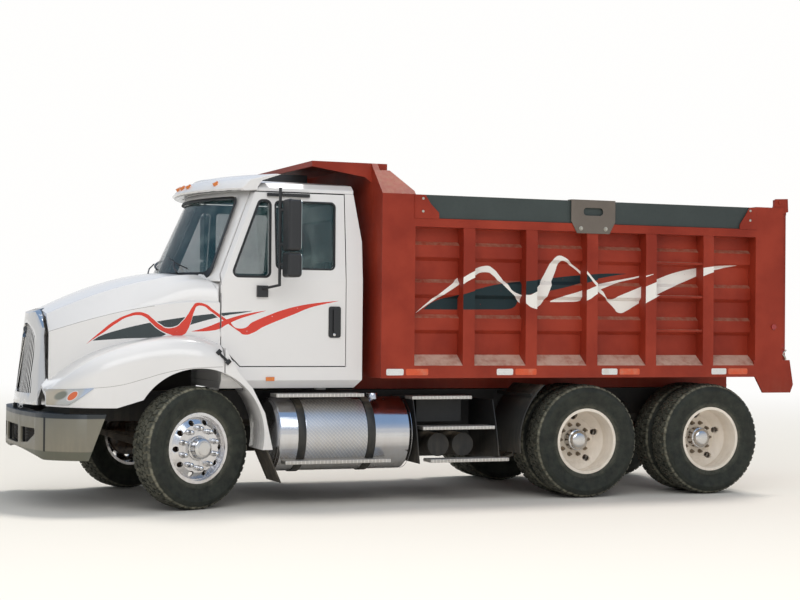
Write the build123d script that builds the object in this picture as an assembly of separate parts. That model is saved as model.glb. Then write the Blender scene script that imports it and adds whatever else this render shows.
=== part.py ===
from build123d import *
import os
from math import asin, cos, degrees, radians, sin, sqrt

# Three-axle conventional dump truck, in millimetres.
# +X is forward, +Y is the driver's left, +Z is up; the origin is on the ground, under the truck's middle.
os.makedirs("parts", exist_ok=True)

# Running lengths along the truck
front_overhang = 1284.0      # front axle to the bumper's face
wheelbase = 3740.0           # front axle to the first drive axle
tandem_spread = 1320.0       # first drive axle to the second
rear_overhang = 901.0        # second drive axle to the back of the bed's feet
overall_length = front_overhang + wheelbase + tandem_spread + rear_overhang
face_x = overall_length / 2
front_axle_x = face_x - front_overhang
drive_axle_x = (front_axle_x - wheelbase, front_axle_x - wheelbase - tandem_spread)
bed_tail_x = -overall_length / 2

# Wheels and tyres
tyre_radius = 520.0
tyre_width = 280.0
tyre_sides = 36              # flats round a tyre
bead_radius = 286.0
rim_wall = 11.0
rim_lip = 14.0               # height of the rim's flange above the bead seat
rim_width = 230.0
axle_height = tyre_radius
front_track = 2040.0
rear_track = 1810.0          # between the middles of the twin wheels
twin_spacing = 330.0
running_fit = 0.05           # radial clearance of a shaft in its bore
steer_rest = 20.0            # the truck stands with its front wheels turned to the left

# Frame
frame_half_width = 430.0
frame_top = 975.0
rail_height = 260.0
rail_bottom = frame_top - rail_height
rail_flange = 85.0
rail_wall = 10.0
frame_front_x = face_x - 254.0
frame_rear_gap = 90.0        # rail end to the bed's hinge axis
panel_gap = 8.0              # shut line between panels that move apart

# Cab
cab_half_width = 1030.0
cab_bottom = frame_top + 40.0
cab_wall = 60.0
cab_length = 1286.0
cab_front_x = front_axle_x - 300.0
cab_rear_x = cab_front_x - cab_length
cab_belt = cab_bottom + 935.0
cab_eave = cab_belt + 770.0  # top of the doors, where the roof panel starts
cab_eave_half_width = 955.0
roof_crown = 145.0
cab_top = cab_eave + roof_crown
cowl_z = cab_belt - 20.0
screen_radius = 1600.0       # plan curve of the windscreen
screen_front_x = cab_front_x + 370.0
screen_rake = 25.0           # windscreen lean from upright
roof_rear_lean = 70.0
sill_top = cab_bottom + 190.0

# Doors
door_rear_x = cab_rear_x + 161.0
door_front_x = cab_front_x
door_chamfer_z = sill_top + 175.0
door_chamfer_x = cab_front_x - 170.0
door_top_front_x = cab_front_x - 285.0
door_pin_radius = 3.5
glass_thickness = 8.0
glass_inset = 26.0

# Hood and fenders
hood_wall = 26.0
hood_bottom = frame_top - 110.0
hood_rear_x = cab_front_x + 9.0
nose_back = 209.0            # bumper's face to the front edge of the hood
fender_half_width = 1170.0
arch_centre_x = front_axle_x - 80.0
arch_centre_z = axle_height + 104.0
arch_radius = tyre_radius + 49.0
hood_hinge_x = face_x - 48.0
hood_hinge_z = hood_bottom - 27.0
hood_pin_radius = 9.0

# Bed
cab_to_bed = 104.0
bed_half_width = 1220.0
bed_front_x = cab_rear_x - cab_to_bed
bed_rail_bottom = frame_top + 130.0
bed_rail_top = bed_rail_bottom + 105.0
bed_panel_half = 1090.0      # outside of the pressed side panels
bed_plate = 14.0
bed_top_rail = (bed_rail_top + 1230.0, bed_rail_top + 1305.0)
bed_side_top = bed_top_rail[1] + 209.0
bed_apex_z = bed_side_top + 280.0
bed_apex_half = 940.0
bed_rib_width = 114.0
rib_count = 5
first_rib_x = bed_front_x - 836.0
last_rib_x = bed_tail_x + 956.0
front_post_length = 313.0
rear_post_length = 310.0
rear_post_front_x = bed_tail_x + 433.0
rear_post_back_x = rear_post_front_x - rear_post_length
board_thickness = 45.0
canopy_reach = 557.0
bed_rest_gap = 6.0           # bed sills above the frame
hinge_x = bed_tail_x + 271.0
hinge_z = frame_top - 45.0
hinge_pin_radius = 25.0
tailgate_pivot_x = bed_tail_x + 156.0
tailgate_pivot_z = bed_side_top + 57.0
tailgate_pin_radius = 16.0

# Hoist
hoist_y = 200.0              # the two lift cylinders stand either side of the propeller shaft
hoist_base_x = hinge_x + 2350.0
hoist_base_z = rail_bottom - 345.0
hoist_eye_z = bed_rail_top - 90.0
hoist_radius = sqrt((hoist_base_x - hinge_x) ** 2 + (hoist_base_z - hinge_z) ** 2)
hoist_eye_x = hinge_x + sqrt(hoist_radius ** 2 - (hoist_eye_z - hinge_z) ** 2)
hoist_tube_radii = (92.0, 78.0, 62.0, 46.0)   # barrel, then the three stages that slide out of it
hoist_gap = 0.3
hoist_pin_radius = 20.0
hoist_foot_radius = 34.0
hoist_head_radius = 40.0

# Tank, steps and the boxes beside the frame
tank_length = 1245.0
tank_front_x = front_axle_x - 778.0
tank_rear_x = tank_front_x - tank_length
tank_radius = 320.0
tank_y = frame_half_width + 80.0 + tank_radius
tank_z = frame_top - 365.0
step_front_x = tank_front_x + 12.0
battery_rear_x = front_axle_x - 1650.0
battery_front_x = front_axle_x - 760.0
stand_rear_x = drive_axle_x[0] + 880.0
stand_front_x = tank_rear_x - 57.0
muffler_rear_x = drive_axle_x[0] + 950.0
muffler_front_x = battery_rear_x - 240.0


def box(x0, x1, y0, y1, z0, z1):
    """Block between two corners."""
    return Pos((x0 + x1) / 2, (y0 + y1) / 2, (z0 + z1) / 2) * Box(abs(x1 - x0), abs(y1 - y0), abs(z1 - z0))


def outline(points, round_r=0.0):
    """Closed flat outline, its corners rounded where a radius is given."""
    face = make_face(Polyline(*points, close=True))
    return fillet(face.vertices(), round_r) if round_r else face


def side_prism(face, y0, y1):
    """An outline drawn in X and Z, as thick as from y0 to y1."""
    plane = Plane(origin=(0, max(y0, y1), 0), x_dir=(1, 0, 0), z_dir=(0, -1, 0))
    return extrude(plane * face, abs(y1 - y0))


def front_prism(face, x0, x1):
    """An outline drawn in Y and Z, as long as from x0 to x1."""
    plane = Plane(origin=(min(x0, x1), 0, 0), x_dir=(0, 1, 0), z_dir=(1, 0, 0))
    return extrude(plane * face, abs(x1 - x0))


def plan_prism(face, z0, z1):
    """An outline drawn in X and Y, as high as from z0 to z1."""
    return extrude(Pos(0, 0, min(z0, z1)) * face, abs(z1 - z0))


def rod(start, end, radius):
    """Round bar between two points."""
    path = Vector(*end) - Vector(*start)
    return extrude(Plane(origin=start, z_dir=path) * Circle(radius), path.length)


def pipe(start, end, radius, bore):
    """Round tube between two points."""
    path = Vector(*end) - Vector(*start)
    return extrude(Plane(origin=start, z_dir=path) * (Circle(radius) - Circle(bore)), path.length)


def spun(points, centre, axis):
    """Revolves an outline of (radius, distance along the axis) about an axis through centre."""
    side = Vector(0, 0, 1) if abs(Vector(*axis).Z) < 0.9 else Vector(1, 0, 0)
    plane = Plane(origin=centre, x_dir=side, z_dir=Vector(*axis).cross(side) * -1)
    face = plane * make_face(Polyline(*points, close=True))
    return revolve(face, Axis(centre, axis), 360)


def both_sides(shape):
    """A shape with its mirror image across the truck."""
    return [shape, mirror(shape, Plane.XZ)]


def solids_of(shapes):
    """Every solid in a list of shapes."""
    return [solid for shape in shapes for solid in shape.solids()]


def save(name, *shapes):
    """Writes one sub-part as parts/NAME.step."""
    export_step(Compound(children=[Solid(s.wrapped) for s in solids_of(shapes)]), f"parts/{name}.step")


# Frame: two channel rails and the crossmembers between them

def make_frame():
    half = frame_half_width
    low = rail_bottom
    channel = outline([(half, low), (half, frame_top), (half - rail_flange, frame_top),
                       (half - rail_flange, frame_top - rail_wall),
                       (half - rail_wall, frame_top - rail_wall),
                       (half - rail_wall, low + rail_wall), (half - rail_flange, low + rail_wall),
                       (half - rail_flange, low)])
    save("frame_rails", *both_sides(front_prism(channel, hinge_x + frame_rear_gap, frame_front_x)))

    inner = half - rail_wall
    # back face, lower edge, height
    members = [(frame_front_x - 90, low + 20, 120), (cab_rear_x + 256, low + 70, 160),
               (tank_rear_x - 297, low + 50, 170), (hoist_base_x + 145, low + 50, 170)]
    shapes = []
    for x, z, height in members:
        web = box(x, x + 12, -inner, inner, z, z + height)
        lips = [box(x, x + 60, -inner, inner, edge, edge + 12) for edge in (z, z + height - 12)]
        shapes.append(web + lips)

    # Hoist hangers: pairs of cheeks under the last of them that hold the cylinders' lower pins
    x = hoist_base_x
    z = hoist_base_z
    cheek = side_prism(outline([(x - 38, z + 38), (x - 38, z - 10), (x, z - 38), (x + 70, z - 36),
                                (x + 150, z + 10), (x + 192, low + 58), (x + 146, low + 58),
                                (x + 118, z + 110), (x + 118, z + 42), (x + 38, z + 38)]), -7, 7)
    pin = rod((x, -48, z), (x, 48, z), hoist_pin_radius)
    for y in (hoist_y, -hoist_y):
        shapes[-1] += Pos(0, y - 41, 0) * cheek
        shapes[-1] += Pos(0, y + 41, 0) * cheek
        shapes[-1] += Pos(0, y, 0) * pin

    # Rear crossmember with the bed's hinge brackets, pins and the hitch plate
    end_x = hinge_x + frame_rear_gap
    plate = box(end_x - 16, end_x, -half, half, low - 110, frame_top - 20)
    for side_y in (-80.0, 80.0):
        for z in (low + 60, low + 140):
            plate -= rod((end_x - 20, side_y, z), (end_x + 4, side_y, z), 10.5)
    bracket = side_prism(outline([(end_x - 8, low + 20), (end_x - 8, frame_top - 30),
                                  (hinge_x + 20, hinge_z + 42), (hinge_x - 42, hinge_z + 20),
                                  (hinge_x - 42, hinge_z - 30), (hinge_x, low + 20)]), 300, 330)
    pin = rod((hinge_x, 300, hinge_z), (hinge_x, 392, hinge_z), hinge_pin_radius)
    shapes.append(plate + both_sides(bracket + pin))
    save("crossmembers", *shapes)


# Front bumper: a bowed pressing with swept ends, three intakes and two arms to the rails

def bumper_plan(inset):
    """Half-round plan outline of the bumper, drawn smaller by the inset."""
    front = face_x - inset
    end_x = face_x - 594.0
    side = fender_half_width - 45.0 - inset
    shoulder = (front - 62, 700.0)
    corner = (front - 209, side - 118)
    lines = [ThreePointArc((shoulder[0], -shoulder[1]), (front, 0), shoulder)]
    for s in (1, -1):
        lines.append(ThreePointArc((shoulder[0], s * shoulder[1]), (corner[0], s * corner[1]),
                                   (face_x - 424.0, s * side)))
        lines.append(Line((face_x - 424.0, s * side), (end_x, s * side)))
    lines.append(Line((end_x, -side), (end_x, side)))
    return make_face(lines)


def make_bumper():
    top = hood_bottom - 53.0
    bottom = top - 380.0
    shell = plan_prism(bumper_plan(0), bottom, top) - plan_prism(bumper_plan(38.0), bottom - 1, top - 26)
    shell -= box(face_x - 684, face_x - 264, -1010, 1010, bottom - 1, top + 1)
    shell -= box(face_x - 684, face_x - 144, -520, 520, bottom - 1, top + 1)
    end_cut = outline([(face_x - 684, top + 20), (face_x - 594, top + 20), (face_x - 434, bottom - 20),
                       (face_x - 684, bottom - 20)])
    shell -= side_prism(end_cut, -1300, 1300)
    toe_cut = outline([(face_x + 116, bottom - 5), (face_x - 124, bottom - 5),
                       (face_x + 116, bottom + 170)])
    shell -= side_prism(toe_cut, -1300, 1300)
    centre = outline([(-270, bottom + 103), (270, bottom + 103), (270, top - 122), (-270, top - 122)], 22)
    side = outline([(355, bottom + 113), (560, bottom + 128), (735, bottom + 203), (735, top - 130),
                    (355, top - 130)], 20)
    for intake in (front_prism(centre, face_x - 284, face_x + 50),
                   *both_sides(front_prism(side, face_x - 284, face_x + 50))):
        shell -= intake
    arm_y = frame_half_width + 2.0
    arm = side_prism(outline([(frame_front_x - 160, rail_bottom + 25),
                              (frame_front_x - 160, rail_bottom + 185),
                              (face_x - 59, top - 32), (face_x - 59, top - 112)]), arm_y, arm_y + 14)
    shell = shell + both_sides(arm)
    # two ears on the bumper's shelf carry the pins that the hood tilts on
    for s in (1, -1):
        shell += box(hood_hinge_x - 18, hood_hinge_x + 18, s * 128, s * 138, top - 5, hood_hinge_z + 16)
        shell += rod((hood_hinge_x, s * 134, hood_hinge_z), (hood_hinge_x, s * 166, hood_hinge_z),
                     hood_pin_radius)
    save("front_bumper", shell)


# Engine with gearbox, and the radiator: closed, so plain blocks of their real size

def make_engine():
    radiator_x = face_x - 484.0
    block = side_prism(outline([(cab_front_x + 60, 1120), (cab_front_x + 60, 1480),
                                (radiator_x - 180, 1480), (radiator_x - 100, 1380),
                                (radiator_x - 100, 900), (radiator_x - 240, 730), (cab_front_x + 240, 730),
                                (cab_front_x + 60, 800)]), -290, 290)
    gearbox = rod((cab_rear_x + 336, 0, 760), (cab_front_x + 70, 0, 820), 150)
    radiator = box(radiator_x, radiator_x + 90, -420, 420, frame_top + 10, frame_top + 585)
    radiator += box(radiator_x, radiator_x + 90, -335, 335, rail_bottom + 85, frame_top + 20)
    mount = box(front_axle_x + 100, front_axle_x + 180, -344, 344, rail_bottom + 85, rail_bottom + 145)
    save("engine", block + gearbox + mount, radiator)


# Front axle: dropped beam with kingpin eyes, on two leaf springs

kingpin_y = 880.0
kingpin_radius = 20.0
eye_half_height = 55.0
spring_y = 435.0


def leaf_pack(x0, x1, eye_z, mid_z, y_low, y_high, thickness):
    """Bowed spring pack in side view, between two eyes."""
    mid = (x0 + x1) / 2
    lower = ThreePointArc((x0, eye_z), (mid, mid_z), (x1, eye_z))
    upper = ThreePointArc((x1, eye_z + 16), (mid, mid_z + thickness), (x0, eye_z + 16))
    face = make_face([lower, Line((x1, eye_z), (x1, eye_z + 16)), upper,
                      Line((x0, eye_z + 16), (x0, eye_z))])
    return side_prism(face, y_low, y_high)


def make_front_axle():
    z = axle_height
    x = front_axle_x
    beam = front_prism(outline([(-kingpin_y + 30, z - 45), (-620, z - 45), (-540, z - 110), (540, z - 110),
                                (620, z - 45), (kingpin_y - 30, z - 45), (kingpin_y - 30, z + 40),
                                (600, z + 40), (500, z - 20), (-500, z - 20), (-600, z + 40),
                                (-kingpin_y + 30, z + 40)]), x - 42, x + 42)
    for s in (1, -1):
        beam += rod((x, s * kingpin_y, z - eye_half_height), (x, s * kingpin_y, z + eye_half_height), 46)
        beam -= rod((x, s * kingpin_y, z - 100), (x, s * kingpin_y, z + 100), kingpin_radius + running_fit)
    spring = leaf_pack(x - 620, x + 700, rail_bottom - 55, z - 30, spring_y - 38, spring_y + 38, 70)
    seat = box(x - 90, x + 90, spring_y - 45, spring_y + 45, z - 40, z + 70)
    hangers = [box(end, end + 60, spring_y - 30, spring_y + 30, rail_bottom - 60, rail_bottom)
               for end in (x - 620, x + 640)]
    for pack in both_sides(spring + seat + hangers):
        beam += pack
    save("front_axle", beam)


# Steering knuckles, turned with the wheels, and the tie rod between their arms

arm_reach = 190.0
arm_z = axle_height - 105.0
ball_radius = 16.0
front_hub_offset = front_track / 2 - kingpin_y
front_spindle_radius = 32.0


def steered(shape, s):
    """Turns a shape about a kingpin to the angle at which the truck stands."""
    axis = Axis((front_axle_x, s * kingpin_y, 0), (0, 0, 1))
    return shape.rotate(axis, steer_rest)


def make_knuckles():
    z = axle_height
    x = front_axle_x
    for name, s in (("left", 1), ("right", -1)):
        y = s * kingpin_y
        pin = rod((x, y, z - 102), (x, y, z + 101), kingpin_radius)
        forks = [rod((x, y, low), (x, y, low + 34), 44) for low in (z - 96, z + 61)]
        yoke = box(x - 40, x + 40, y + s * 52, y + s * 80, z - 92, z + 91)
        links = [box(x - 36, x + 36, y, y + s * 60, low, low + 34) for low in (z - 96, z + 61)]
        spindle = rod((x, y + s * 70, z), (x, y + s * (front_hub_offset + 130), z),
                      front_spindle_radius)
        arm = box(x - arm_reach, x - 25, y - 20, y + 20, arm_z - 10, arm_z + 10)
        ball = rod((x - arm_reach, y, arm_z - 60), (x - arm_reach, y, arm_z), ball_radius)
        arm_end = rod((x - arm_reach, y, arm_z - 11), (x - arm_reach, y, arm_z + 11), 28)
        save(f"knuckle_{name}", steered(pin + forks + yoke + links + spindle + arm + arm_end + ball, s))
    rod_z = arm_z - 38
    rest = radians(steer_rest)
    end_x = x - arm_reach * cos(rest)
    shift = -arm_reach * sin(rest)
    ends = [(end_x, s * kingpin_y + shift, rod_z) for s in (1, -1)]
    bar = rod((ends[1][0], ends[1][1] + 25, rod_z), (ends[0][0], ends[0][1] - 25, rod_z), 17)
    for ex, ey, ez in ends:
        bar += rod((ex, ey, ez - 18), (ex, ey, ez + 18), 32)
    for ex, ey, ez in ends:
        bar -= rod((ex, ey, ez - 40), (ex, ey, ez + 40), ball_radius + running_fit)
    save("tie_rod", bar)


# Drive axles: two housings on leaf packs, with the shafts that drive them

rear_spindle_radius = 45.0
rear_spindle_end = rear_track / 2 + 60.0


def make_drive_axles():
    z = axle_height
    whole = None
    for x in drive_axle_x:
        tube = rod((x, -rear_spindle_end, z), (x, rear_spindle_end, z), rear_spindle_radius)
        tube += rod((x, -610, z), (x, 610, z), 78)
        bowl = spun([(0, -120), (120, -120), (205, -50), (205, 50), (110, 170), (60, 330), (0, 330)],
                    (x, 0, z), (1, 0, 0))
        housing = tube + bowl
        whole = housing if whole is None else whole + housing
    first, second = drive_axle_x
    middle = (first + second) / 2
    whole += rod((second + 320, 0, z), (first - 100, 0, z), 42)
    whole += rod((first + 320, 0, z), (cab_rear_x + 333, 0, 690), 48)
    pack = leaf_pack(second - 90, first + 90, z + 70, z + 130, 450, 530, 90)
    saddle = side_prism(outline([(middle - 150, rail_bottom + 120), (middle + 150, rail_bottom + 120),
                                 (middle + 90, z + 150), (middle - 90, z + 150)]),
                        frame_half_width + 2, 530)
    seats = [box(x - 80, x + 80, 450, 530, z + 20, z + 100) for x in drive_axle_x]
    for part in both_sides(pack + saddle + seats):
        whole += part
    save("drive_axles", whole)


# Wheels

def tyre_at(centre, outward):
    """Tyre as one ring of flats: bowed walls and a flat tread outside, a straight bead seat inside."""
    half = tyre_width / 2
    seat_half = half - 44.0

    def ring(radius, along):
        place = Vector(*centre) + Vector(*outward) * along
        plane = Plane(origin=place, x_dir=(0, 0, 1), z_dir=outward)
        return plane * Rot(0, 0, 180 / tyre_sides) * RegularPolygon(radius, tyre_sides, major_radius=False)

    walls = [(400.0, half), (470.0, half - 6.0), (tyre_radius, half - 32.0)]
    sections = [ring(radius, -along) for radius, along in walls]
    sections += [ring(radius, along) for radius, along in reversed(walls)]
    seat_radius = bead_radius + running_fit
    tyre = loft(sections, ruled=True) - loft([ring(seat_radius, -half), ring(seat_radius, half)],
                                             ruled=True)
    for s in (1, -1):
        tyre -= loft([ring(seat_radius, s * seat_half), ring(390.0, s * half)], ruled=True)
    return tyre


def rim_barrel():
    """Outline of the rim's barrel with a lip at each edge, as (radius, offset) points."""
    half = rim_width / 2
    low = bead_radius - rim_wall
    lip = bead_radius + rim_lip
    return [(low, -half), (lip, -half), (lip, -half + 9), (bead_radius, -half + 10),
            (bead_radius, half - 10),
            (lip, half - 9), (lip, half), (low, half)]


hand_hole_count = 10
hand_hole_circle = 222.0
rear_hand_hole_count = 5
rear_hand_hole_circle = 214.0
hub_radius = 105.0


def make_front_wheels():
    for name, s in (("left", 1), ("right", -1)):
        centre = (front_axle_x, s * front_track / 2, axle_height)
        outward = (0, s, 0)
        save(f"tyre_front_{name}", steered(tyre_at(centre, outward), s))
        disc = spun([(60, 92), (200, 92), (262, 62), (280, 62), (280, 80), (262, 80), (205, 112),
                     (60, 112)],
                    centre, outward)
        for i in range(hand_hole_count):
            angle = radians(360 / hand_hole_count * (i + 0.5))
            x = centre[0] + hand_hole_circle * sin(angle)
            z = centre[2] + hand_hole_circle * cos(angle)
            disc -= rod((x, centre[1], z), (x, centre[1] + s * 200, z), 24)
        bore = front_spindle_radius + running_fit
        hub = spun([(bore, -52), (85, -52), (85, 60), (hub_radius, 85), (hub_radius, 112), (82, 118),
                    (82, 178), (0, 178), (0, 140), (bore, 140)], centre, outward)
        drum = spun([(84, -50), (206, -50), (206, 58), (196, 58), (196, -38), (84, -38)], centre, outward)
        save(f"wheel_front_{name}", steered(spun(rim_barrel(), centre, outward) + disc + hub + drum, s))


def make_rear_wheels():
    half = twin_spacing / 2
    edge = half - rim_width / 2
    for row, x in zip(("first", "second"), drive_axle_x):
        for name, s in (("left", 1), ("right", -1)):
            outward = (0, s, 0)
            middle = (x, s * rear_track / 2, axle_height)
            centres = [(x, s * (rear_track / 2 + k * half), axle_height) for k in (-1, 1)]
            save(f"tyres_{row}_{name}", *[tyre_at(c, outward) for c in centres])
            rims = [spun(rim_barrel(), c, outward) for c in centres]
            # the twin wheels' dished discs stand back to back on the hub's flange
            dish = [(60, 0), (205, 0), (240, 22), (280, edge + 18), (280, edge + 38), (228, 42), (200, 14),
                    (60, 14)]
            discs = spun(dish, middle, outward) + spun([(r, -along) for r, along in dish], middle, outward)
            for i in range(rear_hand_hole_count):
                angle = radians(360 / rear_hand_hole_count * i)
                hx = x + rear_hand_hole_circle * sin(angle)
                hz = axle_height + rear_hand_hole_circle * cos(angle)
                discs -= rod((hx, s * (rear_track / 2 - 120), hz), (hx, s * (rear_track / 2 + 120), hz), 30)
            bore = rear_spindle_radius + running_fit
            hub = spun([(bore, -190), (95, -190), (95, 40), (78, 60), (78, 125), (0, 125), (0, 90),
                        (bore, 90)], middle, outward)
            drum = spun([(94, -185), (210, -185), (210, -20), (198, -20), (198, -170), (94, -170)],
                        middle, outward)
            save(f"wheels_{row}_{name}", rims[0] + rims[1] + discs + hub + drum)


# Cab shell: one outer form and one inner form, cut into the panels that really meet

def section_half(inset, top_z):
    """Right half of the cab's cross-section as corner points, from the bottom up."""
    lean = (cab_half_width - cab_eave_half_width) / (cab_eave - cab_belt)
    top_half = cab_eave_half_width - lean * (top_z - cab_eave)
    return [(cab_half_width - inset, cab_belt), (top_half - inset, top_z)]


def cab_form(inset):
    """The cab as a solid block, smaller all round by the inset."""
    side = section_half(inset, cab_eave + 30)
    bottom = cab_bottom + inset
    crown = ThreePointArc((side[1][0] - 60, cab_eave + 75 - inset), (0, cab_top - inset),
                          (60 - side[1][0], cab_eave + 75 - inset))
    half = cab_half_width - inset
    lines = [Line((-half + 50, bottom), (half - 50, bottom)),
             Line((half - 50, bottom), (half, bottom + 70)),
             Line((half, bottom + 70), side[0]), Line(side[0], side[1]),
             Line(side[1], (side[1][0] - 60, cab_eave + 75 - inset)), crown]
    left = [(-y, z) for y, z in ((side[1][0] - 60, cab_eave + 75 - inset), side[1], side[0],
                                 (half, bottom + 70),
                                 (half - 50, bottom))]
    lines.append(Polyline(*left))
    section = front_prism(make_face(lines), cab_rear_x - 50, screen_front_x + 50)
    rear = cab_rear_x + inset
    front = cab_front_x - inset
    profile = side_prism(outline([(front, bottom), (front, cowl_z + inset),
                                  (screen_front_x + 40, cowl_z + inset),
                                  (screen_front_x + 40, cab_top + 40),
                                  (rear + roof_rear_lean, cab_top + 40),
                                  (rear + roof_rear_lean, cab_eave - inset), (rear, cab_belt + 350),
                                  (rear, bottom + 70),
                                  (rear + 60, bottom)]), -1200, 1200)
    return section & profile & behind_screen(inset)


def behind_screen(inset):
    """Everything behind the raked, bowed windscreen surface, moved back by the inset."""
    rake = radians(screen_rake)
    base_x = screen_front_x - inset / cos(rake) + (cowl_z - cab_bottom) * sin(rake) / cos(rake)
    sag = screen_radius - sqrt(screen_radius ** 2 - 1200.0 ** 2)
    back = base_x - 3000.0
    face = make_face([ThreePointArc((base_x - sag, -1200), (base_x, 0), (base_x - sag, 1200)),
                      Polyline((base_x - sag, 1200), (back, 1200), (back, -1200), (base_x - sag, -1200))])
    height = 2100.0
    direction = Vector(-sin(rake), 0, cos(rake))
    return extrude(Pos(0, 0, cab_bottom) * face, height / cos(rake), dir=direction)


def core_prism():
    """Everything between the cab's side walls."""
    side = section_half(cab_wall, cab_top + 60)
    low_half = cab_half_width - cab_wall
    points = [(-low_half, 900), (low_half, 900), (low_half, cab_belt), side[1], (-side[1][0], side[1][1]),
              (-low_half, cab_belt)]
    return front_prism(outline(points), cab_rear_x - 100, screen_front_x + 100)


def door_face(grow):
    """Side view of the left door; grow makes the opening that it closes, which runs up to the roof."""
    top = cab_eave - 10.0 + 3 * grow
    lean = (door_front_x - door_top_front_x) / (cab_eave - cab_belt - 50.0)
    points = [(door_rear_x, sill_top + 3), (door_chamfer_x, sill_top + 3), (door_front_x, door_chamfer_z),
              (door_front_x, cab_belt + 40), (door_front_x - lean * (top - cab_belt - 40), top),
              (door_rear_x, top)]
    face = outline(points)
    return offset(face, grow, kind=Kind.INTERSECTION) if grow else face


window_top = cab_eave - 90.0
vent_window = [(cab_front_x - 100, cab_belt + 35), (cab_front_x - 422, cab_belt + 35),
               (cab_front_x - 440, window_top), (cab_front_x - 355, window_top)]
drop_window = [(cab_front_x - 495, cab_belt + 105), (door_rear_x + 108, cab_belt + 105),
               (door_rear_x + 90, window_top), (cab_front_x - 495, window_top)]
window_corner = 34.0


def make_cab():
    outer = cab_form(0)
    inner = cab_form(cab_wall)
    core = core_prism()
    shell = outer - inner
    walls = outer - core
    roof_cut = box(cab_rear_x - 200, screen_front_x + 200, -1200, 1200, cab_eave, cab_top + 100)
    below_roof = box(cab_rear_x - 200, screen_front_x + 200, -1200, 1200, cab_bottom - 50, cab_eave)

    save("cab_roof", shell & roof_cut)

    side_zone = box(cab_rear_x - 200, door_front_x + 1, 0, 1200, cab_bottom - 50, cab_eave)
    opening = side_prism(door_face(panel_gap), 700, 1200)
    pillar_line = side_prism(outline([(door_chamfer_x + 60, cab_bottom - 60),
                                      (door_front_x + 400, cab_bottom - 60),
                                      (door_front_x + 400, cab_eave + 10),
                                      (door_top_front_x - 40, cab_eave + 10),
                                      (door_top_front_x - 40, 1500), (door_chamfer_x + 60, 1500)]), 700,
                             1200)
    quarter = (walls & side_zone) - opening - pillar_line
    sill = walls & box(door_chamfer_x + 60, door_front_x - 1, 700, 1200, cab_bottom - 50,
                       sill_top - panel_gap + 3)
    save("cab_sides", *both_sides(largest(quarter + sill)))

    doors = (walls & side_prism(door_face(0), 700, 1200)) & below_roof
    windows = [side_prism(outline(w, window_corner), 700, 1200) for w in (vent_window, drop_window)]
    door = doors - windows[0] - windows[1]
    glass_slab = cab_form(glass_inset) - cab_form(glass_inset + glass_thickness)
    panes = [glass_slab & w for w in windows]
    # hinge pins stand in the shut line ahead of the door, on short leaves
    hinge = (cab_front_x + 5.0, cab_half_width)
    for z in (door_chamfer_z + 80, cab_belt - 120):
        door += rod((*hinge, z), (*hinge, z + 70), door_pin_radius)
        door += box(door_front_x - 20, hinge[0], hinge[1] - 8, hinge[1] - 1, z + 8, z + 62)
    for name, s in (("left", 1), ("right", -1)):
        save(f"door_{name}", door if s > 0 else mirror(door, Plane.XZ))
        save(f"door_glass_{name}", *[p if s > 0 else mirror(p, Plane.XZ) for p in panes])

    floor = (shell & core) & box(cab_rear_x - 50, cab_front_x + 1, -1200, 1200, cab_bottom - 5,
                                 cab_bottom + cab_wall)
    pads = [box(x, x + 90, y - 35, y + 35, frame_top, cab_bottom + 5)
            for x in (cab_rear_x + 120, cab_front_x - 160) for y in (-385, 385)]
    for pad in pads:
        floor += pad
    save("cab_floor", floor)

    above_floor = box(cab_rear_x - 50, screen_front_x + 50, -1200, 1200, cab_bottom + cab_wall, cab_eave)
    back_zone = box(cab_rear_x - 50, cab_rear_x + roof_rear_lean + cab_wall + 5, -1200, 1200,
                    cab_bottom + cab_wall, cab_eave)
    back = (shell & core) & back_zone
    rear_window = front_prism(outline([(-620, cab_belt + 110), (620, cab_belt + 110), (620, cab_eave - 200),
                                       (-620, cab_eave - 200)], 60), cab_rear_x - 60, cab_rear_x + 200)
    rear_pane = glass_slab & rear_window
    save("cab_back", back - rear_window)

    front_zone = box(cab_front_x - cab_wall - 700, screen_front_x + 50, -1200, 1200, cab_bottom + cab_wall,
                     cab_eave)
    screen_hole = front_prism(outline([(-880, cab_belt + 60), (880, cab_belt + 60), (800, cab_eave - 65),
                                       (-800, cab_eave - 65)], 60), cab_front_x - 300, screen_front_x + 80)
    front = ((shell & core) & front_zone) - screen_hole
    posts = (walls & above_floor) - side_prism(door_face(panel_gap), -1200, 1200)
    posts = posts & box(door_top_front_x - 40, screen_front_x + 50, -1200, 1200, door_chamfer_z, cab_eave)
    front = front + posts
    save("cab_front", largest(front))
    screen_pane = glass_slab & screen_hole
    save("cab_glass", largest(screen_pane), rear_pane)


def largest(shape):
    """The biggest solid of a shape, without slivers beside it."""
    return max(shape.solids(), key=lambda solid: solid.volume)


# Roof fittings: visor, roof unit and the amber lamps

def visor_arc_centre(z):
    """Plan centre of the windscreen's curve at a height."""
    rake = radians(screen_rake)
    return screen_front_x - screen_radius - (z - cowl_z) * sin(rake) / cos(rake)


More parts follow.
